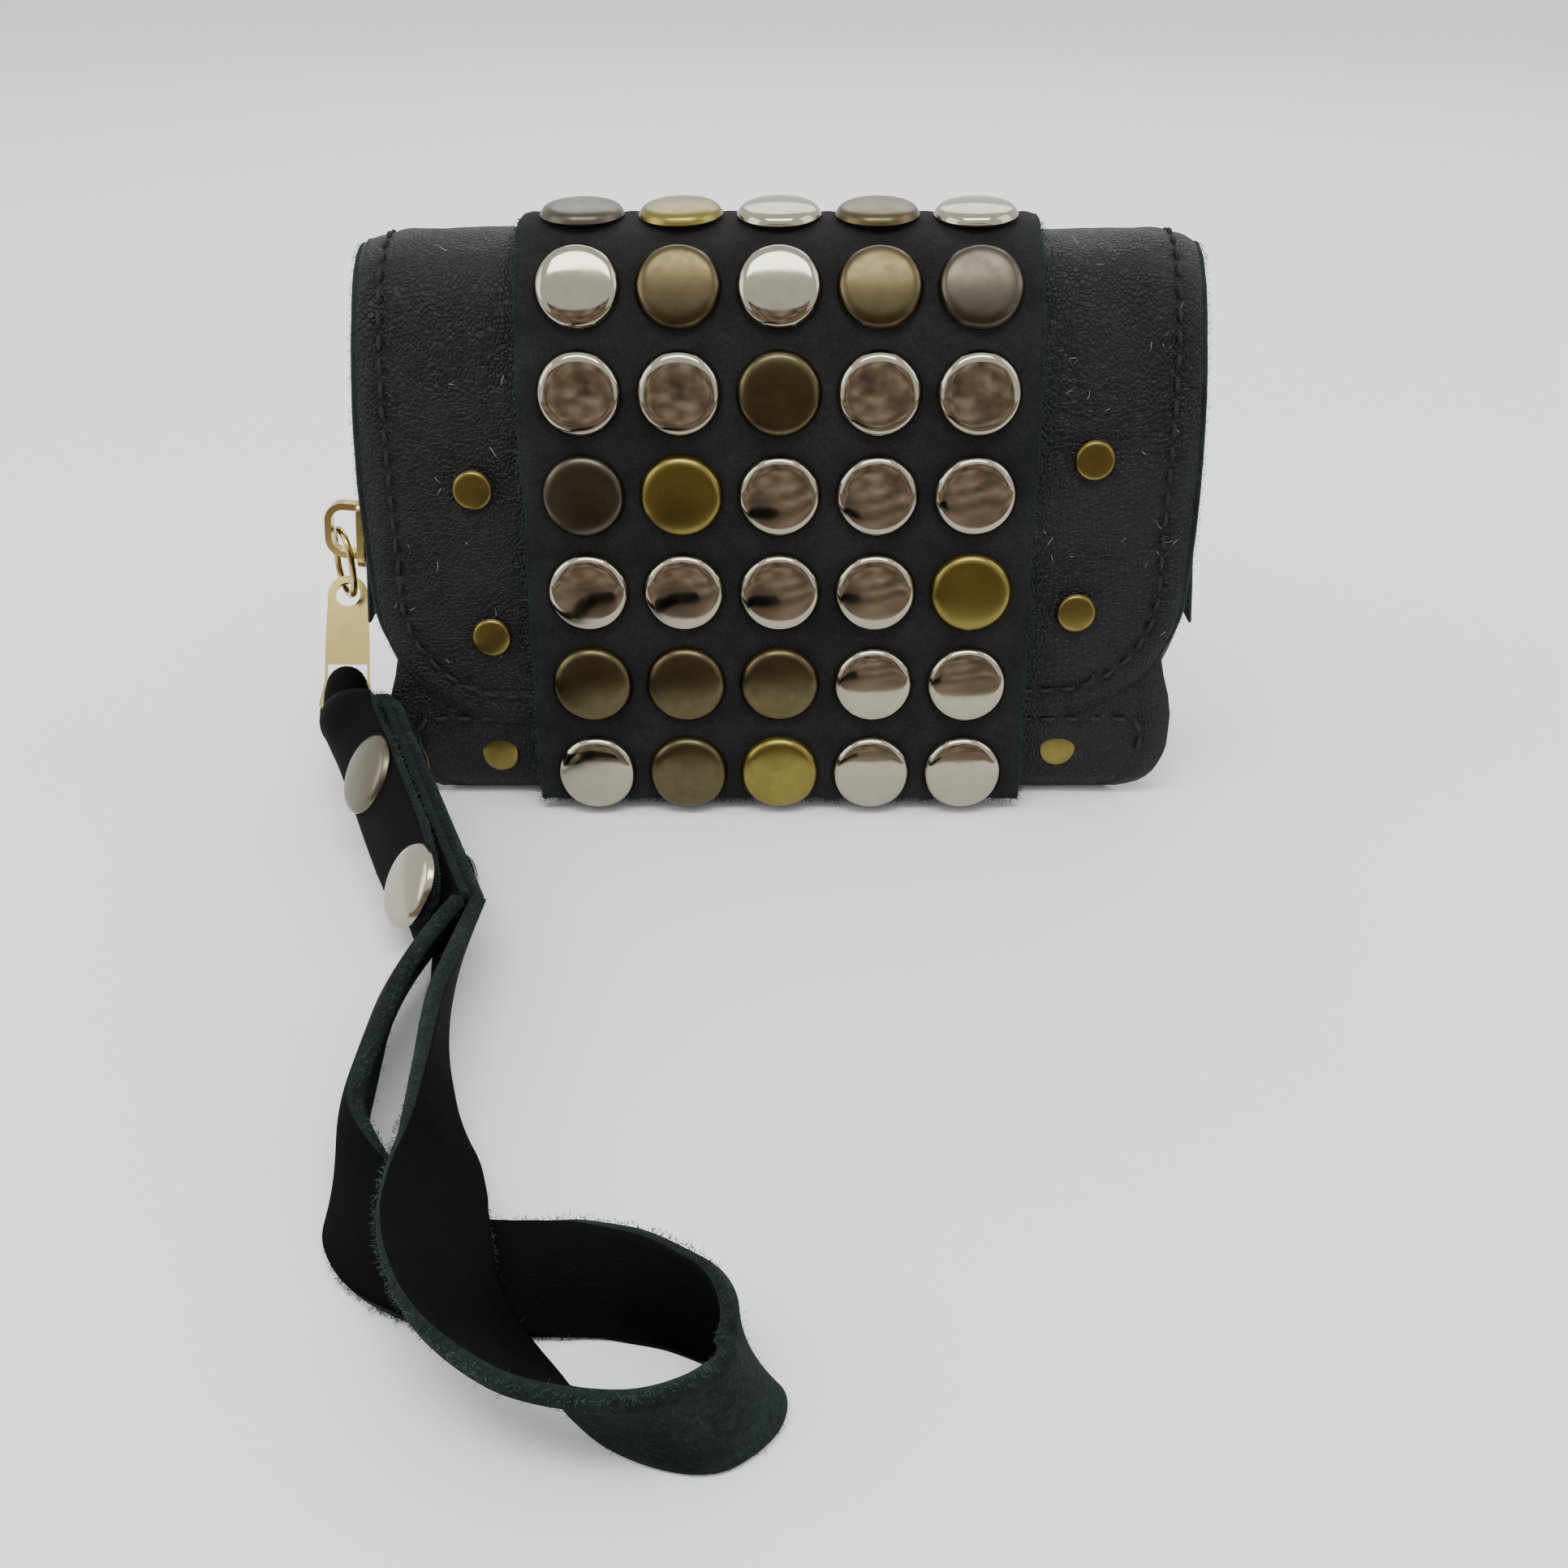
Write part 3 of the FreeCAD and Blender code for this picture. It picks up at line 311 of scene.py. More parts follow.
def shell(name, body, sheet, thick, materials, round_edge=0.3, open_rows=(), raw=False):
    """A closed sheet of leather below a grid of points with normals, with rounded edges. Its
    faces take the outer, inner and edge materials. Rows in open_rows (0 or -1) get a plain edge,
    to meet another piece. A raw sheet shows its edge material on its outermost cells too.
    Returns the piece and its border: points and outward directions."""
    outer, normals = sheet
    rows, columns = outer.shape[:2]
    thickness = np.broadcast_to(np.asarray(thick, float), (rows, columns))[..., None]
    inner = outer - normals * thickness
    count = rows * columns
    points = list(outer.reshape(-1, 3)) + list(inner.reshape(-1, 3))
    faces, slots = [], []
    for i in range(rows - 1):
        for j in range(columns - 1):
            a = i * columns + j
            faces.append((a, a + 1, a + columns + 1, a + columns))
            on_border = j in (0, columns - 2) or (i == rows - 2 and -1 not in open_rows)
            slots.append(2 if raw and on_border else 0)
            faces.append((count + a, count + a + columns, count + a + columns + 1, count + a + 1))
            slots.append(1)
    loop = [(0, j) for j in range(columns - 1)] + [(i, columns - 1) for i in range(rows - 1)]
    loop += [(rows - 1, j) for j in range(columns - 1, 0, -1)]
    loop += [(i, 0) for i in range(rows - 1, 0, -1)]
    border_points, border_out, middle = [], [], []
    for i, j in loop:
        out = unit(outer[i, j] - outer[min(max(i, 1), rows - 2), min(max(j, 1), columns - 2)])
        plain = (i == 0 and 0 in open_rows) or (i == rows - 1 and -1 in open_rows)
        reach = 0.0 if plain else round_edge * float(thickness[i, j, 0])
        mid = (outer[i, j] + inner[i, j]) / 2 + out * reach
        middle.append(len(points))
        points.append(mid)
        if not plain:
            border_points.append(mid)
            border_out.append(out)
    total = len(loop)
    for k in range(total):
        here, after = loop[k], loop[(k + 1) % total]
        a, b = here[0] * columns + here[1], after[0] * columns + after[1]
        m, n = middle[k], middle[(k + 1) % total]
        faces += [(b, a, m, n), (n, m, count + a, count + b)]
        slots += [2, 2]
    piece = make_piece(name, points, faces, materials, body, slots)
    return piece, (np.array(border_points), np.array(border_out))


THIRD_TURN = 2.0944


def fibres(name, body, roots, outs, per_root, length, width, spread, material):
    """Short tapered three-sided fibres that stand out of a raw edge."""
    points, faces = [], []
    for root, out in zip(roots, outs):
        for _ in range(per_root):
            shift = np.array([dice.uniform(-0.5, 0.5) for _ in range(3)])
            lean = np.array([dice.gauss(0, spread) for _ in range(3)])
            way = unit(out + lean)
            long = length * dice.uniform(0.4, 1.25)
            side = unit(np.cross(way, [dice.uniform(-1, 1) for _ in range(3)]))
            other = np.cross(way, side)
            bend = unit([dice.gauss(0, 1) for _ in range(3)]) * long * 0.3
            base = root + shift - way * 0.25
            start = len(points)
            for share, thin in ((0.0, 1.0), (0.55, 0.7)):
                centre = base + way * long * share + bend * share * share
                for turn in range(3):
                    angle = THIRD_TURN * turn
                    ring = side * math.cos(angle) + other * math.sin(angle)
                    points.append(centre + ring * width * thin * 0.5)
            points.append(base + way * long + bend)
            for turn in range(3):
                after = (turn + 1) % 3
                faces.append((start + turn, start + after, start + 3 + after, start + 3 + turn))
                faces.append((start + 3 + turn, start + 3 + after, start + 6))
            faces.append((start + 2, start + 1, start))
    return make_piece(name, points, faces, [material], body)


def nap_fibres(name, body, piece, count, length):
    """Fibres that stand and lie on the suede faces of a piece."""
    suede = [p for p in piece.data.polygons if p.material_index > 0]
    areas = np.cumsum([p.area for p in suede])
    roots, outs = [], []
    for _ in range(count):
        face = suede[int(np.searchsorted(areas, dice.random() * areas[-1]))]
        roots.append(np.array(face.center) / MM)
        outs.append(np.array(face.normal))
    return fibres(name, body, roots, outs, 1, length, 0.07, 0.9, FIBRE)


def distances(points):
    """How far along a line of points each of them is."""
    gaps = np.linalg.norm(np.diff(points, axis=0), axis=1)
    return np.concatenate([[0], np.cumsum(gaps)])


def rows_at(marks, along, rows):
    """Rows of three numbers, given at some distances, at others."""
    return np.stack([np.interp(marks, along, rows[:, k]) for k in range(3)], axis=1)


TANGENT_REACH = 0.2


def spaced(points, step):
    """Points a fixed distance apart along a line of points, with tangents and distances."""
    along = distances(points)
    count = max(int(along[-1] / step), 1)
    marks = (np.arange(count) + 0.5) * along[-1] / count
    ahead = rows_at(marks + TANGENT_REACH, along, points)
    behind = rows_at(marks - TANGENT_REACH, along, points)
    return rows_at(marks, along, points), unit(ahead - behind), marks


def tube_faces(start, rings, sides):
    """The faces of a tube of rings of points, closed at both ends."""
    faces = []
    for ring in range(rings - 1):
        for turn in range(sides):
            a = start + ring * sides + turn
            b = start + ring * sides + (turn + 1) % sides
            faces.append((a, a + sides, b + sides, b))
    last = start + (rings - 1) * sides
    faces.append(tuple(start + turn for turn in range(sides)))
    faces.append(tuple(last + turn for turn in reversed(range(sides))))
    return faces


# A stitch's rings: place along it, height in thicknesses, and size.
STITCH_SHAPE = [(-0.5, -0.45, 0.5), (-0.34, 0.12, 0.9), (0.0, 0.26, 1.0), (0.34, 0.12, 0.9),
                (0.5, -0.45, 0.5)]


def stitches(name, body, line, normals, pitch=3.3, long=2.5, thick=0.72):
    """A row of thread stitches that dip into the leather at both ends."""
    placed, ways, marks = spaced(line, pitch)
    ups = unit(rows_at(marks, distances(line), normals))
    points, faces = [], []
    sides = 8
    for centre, way, up in zip(placed, ways, ups):
        side = unit(np.cross(way, up))
        slant = side * dice.uniform(-0.12, 0.12) * long
        start = len(points)
        for share, height, size in STITCH_SHAPE:
            middle = centre + way * share * long + slant * share + up * height * thick
            for turn in range(sides):
                angle = 2 * math.pi * turn / sides
                ring = side * math.cos(angle) + up * math.sin(angle)
                points.append(middle + ring * thick * size * 0.5)
        faces += tube_faces(start, len(STITCH_SHAPE), sides)
    make_piece(name, points, faces, [THREAD], body)


# --- side profile

def walk(start, heading, steps, spacing):
    """Points, outward directions and distances along lines and arcs in the (y, z) plane."""
    point = np.array(start, float)
    angle = math.radians(heading)
    places, rights, marks = [point.copy()], [(math.sin(angle), -math.cos(angle))], [0.0]
    for step in steps:
        if step[0] == "line":
            length, turn = step[1], 0.0
        else:
            length, turn = step[1] * math.radians(abs(step[2])), math.radians(step[2])
        count = max(int(length / spacing), 1)
        for _ in range(count):
            angle += turn / count / 2
            point = point + np.array([math.cos(angle), math.sin(angle)]) * length / count
            angle += turn / count / 2
            places.append(point.copy())
            rights.append((math.sin(angle), -math.cos(angle)))
            marks.append(marks[-1] + length / count)
    return np.array(places), np.array(rights), np.array(marks)


BACK_FACE, HINGE_HEIGHT = 17.4, 74.9
# The front leans back by 4.6 degrees; these are its cosine and sine.
FRONT_LEAN, LEAN_COS, LEAN_SIN = 4.6, 0.9968, 0.0802
FRONT_OUT = np.array([0.0, -LEAN_COS, LEAN_SIN])
CREST = [("arc", 11.0, 90.0), ("arc", 14.0, 60.0), ("arc", 45.0, 25.4)]
FLAP_DROP, BAND_DROP = 44.8, 58.2
FRONT = walk((BACK_FACE, HINGE_HEIGHT), 90, CREST + [("line", BAND_DROP)], 0.7)


class Front:
    """The curved front of the wallet at an offset, with a height field on it."""

    def __init__(self, offset, bump):
        self.offset = offset
        self.bump = bump

    def at(self, x, s):
        """The point and outward direction at x across and s along."""
        y = np.interp(s, FRONT[2], FRONT[0][:, 0])
        z = np.interp(s, FRONT[2], FRONT[0][:, 1])
        out_y = np.interp(s, FRONT[2], FRONT[1][:, 0])
        out_z = np.interp(s, FRONT[2], FRONT[1][:, 1])
        rise = self.offset + self.bump(x, s)
        return np.array([x, y + out_y * rise, z + out_z * rise]), np.array([0, out_y, out_z])

    def grid(self, lines, across):
        """Points and normals for rows of s, and for each row its x values."""
        return grids([[self.at(x, s) for x in across(s)] for s in lines])


def smooth_step(value, low, high):
    """Eases from 0 at low to 1 at high."""
    share = min(max((value - low) / (high - low), 0.0), 1.0)
    return share * share * (3 - 2 * share)


def crinkle(x, s, size, seed):
    """Soft uneven waves of about a given size, from -1 to 1."""
    return noise.noise(Vector((x / size, s / size, seed)))


# --- flap

FLAP_HALF, FLAP_CORNER = 62.5, 20.0
FLAP_END = sum(s[1] * math.radians(s[2]) for s in CREST) + FLAP_DROP
FLAP_FROM = 5.76
STITCH_IN = 4.4
RIVETS = [(-45.8, 52.0), (-44.6, 28.7), (46.8, 56.5), (45.7, 32.7)]
STRAIGHT_TOP = 60.05


def s_at(height):
    """Distance along the front where it is straight, for a height."""
    return FLAP_END - FLAP_DROP + (STRAIGHT_TOP - height) / LEAN_COS


RIVET_PLACES = [(x, s_at(z)) for x, z in RIVETS]


def edge_distance(x, s):
    """How far a point of the flap is from the flap's edge."""
    into_x, into_s = FLAP_HALF - abs(x), FLAP_END - s
    if into_x < FLAP_CORNER and into_s < FLAP_CORNER:
        return FLAP_CORNER - math.hypot(FLAP_CORNER - into_x, FLAP_CORNER - into_s)
    return min(into_x, into_s)


def flap_bump(x, s):
    """The flap's waves beside the band, its stitch groove, rivet dents and worn edges."""
    beside = smooth_step(abs(x), 37.0, 41.0)
    into = edge_distance(x, s)
    rise = 0.42 * beside * crinkle(x, s, 17.0, 1.3) + 0.2 * beside * crinkle(x, s, 7.0, 4.1)
    rise += 0.10 * beside * crinkle(x, s, 3.0, 8.1)
    rise -= 0.24 * math.exp(-((into - STITCH_IN) / 0.75) ** 2)
    rise += 0.16 * math.exp(-((into - 2.2) / 1.2) ** 2)
    rise -= 0.35 * smooth_step(1.8 - into, 0.0, 1.8)
    for rivet_x, rivet_s in RIVET_PLACES:
        away = math.hypot(x - rivet_x, s - rivet_s)
        if away < 9:
            rise -= 0.22 * math.exp(-((away - 3.3) / 1.2) ** 2)
            rise -= 0.15 * math.exp(-(away / 2.5) ** 2)
    crest = 1 - smooth_step(s, 24.0, 44.0)
    rise -= (1.5 * crest + 0.3) * smooth_step(abs(x), 53.0, 62.5) ** 2
    return rise


def flap_half(s):
    """Half the flap's width, which is narrower in its round corners."""
    into = FLAP_END - s
    if into >= FLAP_CORNER:
        half = FLAP_HALF
    else:
        half = FLAP_HALF - FLAP_CORNER
        half += math.sqrt(max(FLAP_CORNER ** 2 - (FLAP_CORNER - into) ** 2, 0))
    return half + 0.35 * math.sin(s * 0.11 + 1.0) * min(1, into / 5)


flap_face = Front(0.0, flap_bump)


def spread(half, count):
    """x values from edge to edge, closer together near both edges."""
    share = np.linspace(-1, 1, count)
    return half * (0.72 * share + 0.28 * np.sin(share * math.pi / 2))


HANG_X, HANG_WIDTH, HANG_DROP = -44.0, 13.0, 1.5
HANG_FROM, HANG_RUN = 38.0, 24.0


def hang(points):
    """How far points of the flap sag towards its lower left corner."""
    x, y, z = points[..., 0], points[..., 1], points[..., 2]
    low_share = np.clip((HANG_FROM - z) / HANG_RUN, 0, 1) * (y < 0)
    return HANG_DROP * np.exp(-((x - HANG_X) / HANG_WIDTH) ** 2) * low_share


LEATHER = 1.4
straight_lines = np.linspace(FLAP_FROM, FLAP_END - FLAP_CORNER, 112)
curved_lines = FLAP_END - FLAP_CORNER * (1 - np.sin(np.linspace(0, math.pi / 2, 34)))
flap_lines = [*straight_lines, *curved_lines[1:]]
flap_points, flap_normals = flap_face.grid(flap_lines, lambda s: spread(flap_half(s), 150))
flap_points[..., 2] -= hang(flap_points)
flap, flap_border = shell("flap", "flap", (flap_points, flap_normals), LEATHER, [GRAINED, SMOOTH, SUEDE],
                          open_rows=(0,), raw=True)
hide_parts("flap_leather")


def flap_stitch_line(side):
    """Points inside the flap's edge, from near the fold to the band at its lower end."""
    places = [(side * (FLAP_HALF - STITCH_IN), s) for s in np.arange(12.0, FLAP_END - FLAP_CORNER, 1.0)]
    radius = FLAP_CORNER - STITCH_IN
    for turn in np.linspace(0, math.pi / 2, 24):
        x = FLAP_HALF - FLAP_CORNER + radius * math.cos(turn)
        places.append((side * x, FLAP_END - FLAP_CORNER + radius * math.sin(turn)))
    places += [(side * x, FLAP_END - STITCH_IN) for x in np.arange(41.0, 36.0, -1.0)]
    line, ups = [], []
    for x, s in places:
        point, up = flap_face.at(x, s)
        point[2] -= hang(point)
        line.append(point + up * 0.16)
        ups.append(up)
    return np.array(line), np.array(ups)


for side, word in ((-1, "left"), (1, "right")):
    line, ups = flap_stitch_line(side)
    stitches("flap_stitching_" + word, "flap", line, ups)

lining_face = Front(-1.45, lambda x, s: -0.05 - 0.05 * crinkle(x, s, 9.0, 2.2))
lining_sheet = lining_face.grid(np.linspace(1.0, FLAP_END - 2.0, 90),
                                lambda s: np.linspace(-1, 1, 60) * (flap_half(s) - 1.2))
lining, _ = shell("flap_lining_cloth", "flap", lining_sheet, 0.35, [LINING] * 3, 0.2)
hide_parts("flap_lining")


# --- band

BAND_HALF, BAND_THICK, BAND_OUT = 38.0, 1.9, 2.4
BAND_FROM = 5.9
BAND_END = FLAP_END - FLAP_DROP + BAND_DROP
CAP_COLUMNS = [-29.0, -14.5, 0.0, 14.5, 29.0]
FIRST_ROW, ROW_PITCH, ROW_COUNT = 5.0, 15.0, 7


def cap_row_at(row):
    """Distance along the front of a row of caps, which are spaced over the band's face."""
    left, s = FIRST_ROW + ROW_PITCH * row, BAND_END
    runs = [(BAND_DROP, 1.0)]
    for _, radius, turn in reversed(CREST):
        runs.append((radius * math.radians(turn), (radius + BAND_OUT) / radius))
    for length, stretch in runs:
        if left <= length * stretch:
            return s - left / stretch
        left -= length * stretch
        s -= length
    return s


CAP_ROWS = [cap_row_at(row) for row in range(ROW_COUNT)]


def band_bump(x, s):
    """The band's waves, a ring pressed in round each cap, and worn edges."""
    rise = 0.10 * crinkle(x, s, 11.0, 5.5) + 0.05 * crinkle(x, s, 4.0, 9.5)
    for row in CAP_ROWS:
        if abs(s - row) < 9:
            for column in CAP_COLUMNS:
                away = math.hypot(x - column, s - row)
                if away < 9:
                    rise -= 0.22 * math.exp(-((away - 6.4) / 0.9) ** 2)
    into = min(BAND_HALF - abs(x), BAND_END - s)
    rise -= 0.3 * smooth_step(1.2 - into, 0, 1.2)
    return rise


def band_across(s):
    """x values of a row of the band, whose cut sides wander a little."""
    left = -BAND_HALF + 0.35 * crinkle(1.0, s, 6.0, 3.0) + 0.2 * crinkle(1.0, s, 1.5, 3.0)
    right = BAND_HALF + 0.35 * crinkle(9.0, s, 6.0, 3.0) + 0.2 * crinkle(9.0, s, 1.5, 3.0)
    return left + (right - left) * (spread(0.5, 120) + 0.5)


band_lines = np.linspace(BAND_FROM, BAND_END, 170)
band_points, band_normals = Front(BAND_OUT, band_bump).grid(band_lines, band_across)
for j in range(band_points.shape[1]):
    ragged = 0.35 * crinkle(band_points[-1, j, 0], 0.0, 2.5, 6.0)
    band_points[-6:, j, 2] += ragged * np.linspace(0, 1, 6)
band, band_border = shell("band", "flap", (band_points, band_normals), BAND_THICK,
                          [NUBUCK, SUEDE, SUEDE], 0.22, raw=True)
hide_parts("band_front")


def edge_fibres(name, body, border, step, per_root, length, width, spread, keep=lambda p: True):
    """Fibres at even steps along a border, where keep says so."""
    roots, outs = [], []
    for place in spaced(border[0], step)[0]:
        if keep(place):
            near = int(np.argmin(np.linalg.norm(border[0] - place, axis=1)))
            roots.append(place)
            outs.append(border[1][near])
    return fibres(name, body, roots, outs, per_root, length, width, spread, FIBRE)


edge_fibres("band_fuzz", "flap", band_border, 0.5, 5, 0.65, 0.10, 0.8)
edge_fibres("band_fringe", "flap", band_border, 0.35, 3, 1.1, 0.10, 0.5, lambda p: p[2] < 4)
edge_fibres("flap_fuzz", "flap", flap_border, 0.45, 4, 0.6, 0.09, 0.8,
            lambda p: abs(p[0]) > BAND_HALF)


# --- caps and rivets

def cap_profile(width, height, rim):
    """Radius and height of a domed cap from its middle to its rolled rim."""
    radius = width / 2
    rows = []
    for share in np.sin(np.linspace(0.02, 1, 30) * math.pi / 2):
        crown = 0.42 * (1 - share ** 2) + 0.58 * (1 - share ** 14)
        rows.append((share * (radius - 0.12), rim + (height - rim) * crown))
    rows += [(radius - 0.04, rim * 0.75), (radius, rim * 0.45), (radius - 0.05, rim * 0.15),
             (radius - 0.3, 0.0), (radius - 0.8, 0.05)]
    return rows


def domed(name, spots, profile, material, body, replaced):
    """One mesh of equal caps; each spot is the middle of a base and its outward direction."""
    points, faces = [], []
    turns = 56
    for base, out in spots:
        out = unit(out)
        side = unit(np.cross(out, [0.3, 0.1, 1.0]))
        other = np.cross(out, side)
        start = len(points)
        for radius, height in profile:
            for turn in range(turns):
                angle = 2 * math.pi * turn / turns
                points.append(base + out * height
                              + (side * math.cos(angle) + other * math.sin(angle)) * radius)
        faces += tube_faces(start, len(profile), turns)
    piece = make_piece(name, points, faces, [material], body)
    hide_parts(replaced)
    return piece


# The finishes of the caps, from the lowest row to the top one, left to right.
FINISHES = ["NABNN", "AAANN", "NNNNB", "GBNNN", "NNANN", "NANAG", "GBNAN"]
BY_FINISH = {"N": ("nickel", NICKEL), "B": ("brass", BRASS), "A": ("antique_brass", ANTIQUE),
             "G": ("antique_grey", GREY_ANTIQUE)}
cap_face = Front(BAND_OUT, lambda x, s: 0.0)
CAP_SHAPE = cap_profile(12.5, 2.0, 0.45)
for letter, (word, material) in BY_FINISH.items():
    spots = []
    for s, finishes in zip(CAP_ROWS, FINISHES):
        for x, finish in zip(CAP_COLUMNS, finishes):
            if finish == letter:
                middle, out = cap_face.at(x, s)
                tip = np.array([dice.gauss(0, 0.018) for _ in range(3)])
                spots.append((middle - out * 0.05, out + tip))
    domed("domed_caps_" + word, spots, CAP_SHAPE, material, "flap", "caps_" + word)

RIVET_SHAPE = cap_profile(6.2, 0.9, 0.3)
flap_spots = [(flap_face.at(x, s)[0] + FRONT_OUT * 0.1, FRONT_OUT) for x, s in RIVET_PLACES]
domed("flap_rivet_heads", flap_spots, RIVET_SHAPE, RIVET, "flap", "flap_rivets")
CUFF_RIVETS = [(-44.9, 8.3), (44.6, 9.2)]
cuff_rivet_face = Front(-2.1, lambda x, s: 0.0)
cuff_spots = [cuff_rivet_face.at(x, s_at(z)) for x, z in CUFF_RIVETS]
domed("cuff_rivet_heads", cuff_spots, RIVET_SHAPE, RIVET, "root", "cuff_rivets")


# --- outer leather

OUTER_HALF, OUTER_CORNER = 62.0, 10.0
CUFF_TOP, OUTER_TOP = 20.0, 68.0


def outer_half(z):
    """Half the outer leather's width, which is narrower in its round lower corners."""
    if z >= OUTER_CORNER:
        return OUTER_HALF
    return OUTER_HALF - OUTER_CORNER + math.sqrt(OUTER_CORNER ** 2 - (OUTER_CORNER - z) ** 2)


CUFF_FOOT, BACK_FOOT, BEND = -13.9, 12.4, 5.0
outer_steps = [("line", OUTER_TOP - BEND), ("arc", BEND, -90.0), ("line", BACK_FOOT - (CUFF_FOOT + BEND)),
               ("arc", BEND, -(90.0 - FRONT_LEAN)), ("line", CUFF_TOP - BEND)]
outer_path = walk((BACK_FACE, OUTER_TOP), -90, outer_steps, 1.1)

CUFF_Y, SIDE_FROM = -10.0, 10.0
SIDE_RISE, SIDE_TUCK = 20.0, 2.6
SNAP_X, SNAP_Z = 29.0, 5.0


def side_share(x):
    """Fades from 0 on the cuff's middle to 1 at its sides, which rise behind the flap."""
    return smooth_step(abs(x), 46.0, 60.0)


def cuff_tuck(x, z):
    """How far the cuff's raised sides are drawn in, to leave room for the strap."""
    return math.copysign(SIDE_TUCK * side_share(x) * smooth_step(z, 14.0, 26.0), x)


def near_metal(x, z):
    """Fades from 1 on a snap's plate or a rivet's head to 0 beside it."""
    shares = [1 - smooth_step(math.hypot(abs(x) - SNAP_X, z - SNAP_Z), 6.0, 8.0)]
    for rivet_x, rivet_z in CUFF_RIVETS:
        shares.append(1 - smooth_step(math.hypot(x - rivet_x, z - rivet_z), 4.5, 6.5))
    return max(shares)


def outer_at(x, half, place, out, left):
    """The point and normal of the outer leather, with some length left to the cuff's edge."""
    y, z = place
    lift = 0.0
    if y < CUFF_Y and z > SIDE_FROM:
        lift = SIDE_RISE * side_share(x) * (z - SIDE_FROM) / (CUFF_TOP - SIDE_FROM)
    rise = 0.0
    if z >= 1.0:
        into = min(half - abs(x), left + lift)
        rise = 0.3 * crinkle(x, outer_path[2][-1] - left, 15.0, 7.7) - 0.1
        rise -= 0.3 * math.exp(-((into - STITCH_IN) / 0.8) ** 2)
        rise -= 0.3 * smooth_step(1.6 - into, 0, 1.6)
    tuck = 0.0
    if y < CUFF_Y:
        tuck = cuff_tuck(x, z + lift)
        rise -= (rise + 0.15) * near_metal(x, z)
    point = (x - tuck, y + out[0] * rise + lift * LEAN_SIN, z + out[1] * rise + lift)
    return point, (0, out[0], out[1])


outer_rows = []
for place, right, s in zip(*outer_path):
    half = outer_half(max(place[1], 0.0))
    left = outer_path[2][-1] - s
    outer_rows.append([outer_at(x, half, place, -right, left) for x in spread(half, 120)])
outer_points, outer_normals = grids(outer_rows)
outer, outer_border = shell("outer", "root", (outer_points[:, ::-1], outer_normals), LEATHER,
                            [GRAINED, LINING, SUEDE], open_rows=(0,))
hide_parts("outer_leather")


def outer_stitch_line(side):
    """The stitch line down the back's side, and up the cuff's side and along its top."""
    back, cuff = [], []
    for (y, z), right in zip(outer_path[0], outer_path[1]):
        out = -right
        place = np.array([side * (outer_half(max(z, 0)) - STITCH_IN), y, z])
        row = (place, np.array([0, out[0], out[1]]))
        if y > 16 and z > 9:
            back.append(row)
        if y < -11 and 8 < z < CUFF_TOP - STITCH_IN - 2:
            cuff.append(row)
    end, out = cuff[-1]
    for x in np.arange(OUTER_HALF - STITCH_IN - 1.5, 37.0, -1.0):
        cuff.append((np.array([side * x, end[1], CUFF_TOP - STITCH_IN - 1.0]), out))
    return back, cuff


for side, word in ((-1, "left"), (1, "right")):
    for rows, part in zip(outer_stitch_line(side), ("back", "cuff")):
        line = np.array([r[0] for r in rows])
        ups = np.array([r[1] for r in rows])
        stitches("%s_stitching_%s" % (part, word), "root", line - ups * 0.1, ups)

fold_steps = [("line", HINGE_HEIGHT - OUTER_TOP), ("arc", 11.0, 30.0)]
fold_path = walk((BACK_FACE, OUTER_TOP), 90, fold_steps, 0.8)
low_row, high_row = outer_points[0], flap_points[0]
fold_rows = []
for place, out, s in zip(*fold_path):
    share = s / fold_path[2][-1]
    row = []
    for x in spread((1 - share) * OUTER_HALF + share * flap_half(FLAP_FROM), 120):
        low_rise = np.interp(x, low_row[:, 0], low_row[:, 1] - BACK_FACE)
        high = np.interp(x, high_row[:, 0], high_row[:, 1]) - fold_path[0][-1][0]
        rise = (1 - share) * low_rise + share * high / max(fold_path[1][-1][0], 0.1)
        row.append(((x, place[0] + out[0] * rise, place[1] + out[1] * rise), (0, out[0], out[1])))
    fold_rows.append(row)
fold, _ = shell("fold", None, grids(fold_rows), LEATHER, [GRAINED, LINING, SUEDE],
                open_rows=(0, -1))
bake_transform(fold)

edge_fibres("cuff_fuzz", "root", outer_border, 0.9, 3, 0.45, 0.07, 0.7,
            lambda p: p[1] < -8 and abs(p[0]) > 36)


# --- card pockets

def front_y(z, offset):
    """y of the straight front at a height and an offset."""
    return -11.6 - (60.0 - z) * LEAN_SIN - offset


PANEL_HALF, PANEL_LOW, PANEL_CORNER = 52.0, 4.5, 6.0
PANELS = [(-3.8, 45.0), (-4.8, 54.0), (-5.8, 63.0)]
for number, (offset, top) in enumerate(PANELS, start=1):
    rows = []
    for z in np.linspace(PANEL_LOW + 0.6, top, 60):
        low = z - PANEL_LOW
        cut = 0.0
        if low < PANEL_CORNER:
            cut = PANEL_CORNER - math.sqrt(PANEL_CORNER ** 2 - (PANEL_CORNER - low) ** 2)
        row = []
        for x in np.linspace(1, -1, 70) * (PANEL_HALF - cut):
            wave = 0.12 * crinkle(x, z, 14.0, number * 3.1)
            dip = 0.6 * math.cos(x / PANEL_HALF * 1.5) * (z / top) ** 8
            row.append(((x, front_y(z, offset) + wave, z - dip), FRONT_OUT))
        rows.append(row)
    panel_points, panel_normals = grids(rows)
    panel, _ = shell("card_pocket_%d" % number, "root", (panel_points[:, ::-1], panel_normals), 0.75,
                     [SMOOTH, SUEDE, SUEDE])
    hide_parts("card_panel_%d" % number)
    mouth = panel_points[-4, 3:-3]
    stitches("card_stitching_%d" % number, "root", mouth, np.tile(FRONT_OUT, (len(mouth), 1)),
             2.6, 1.9, 0.4)


# --- zip pouch

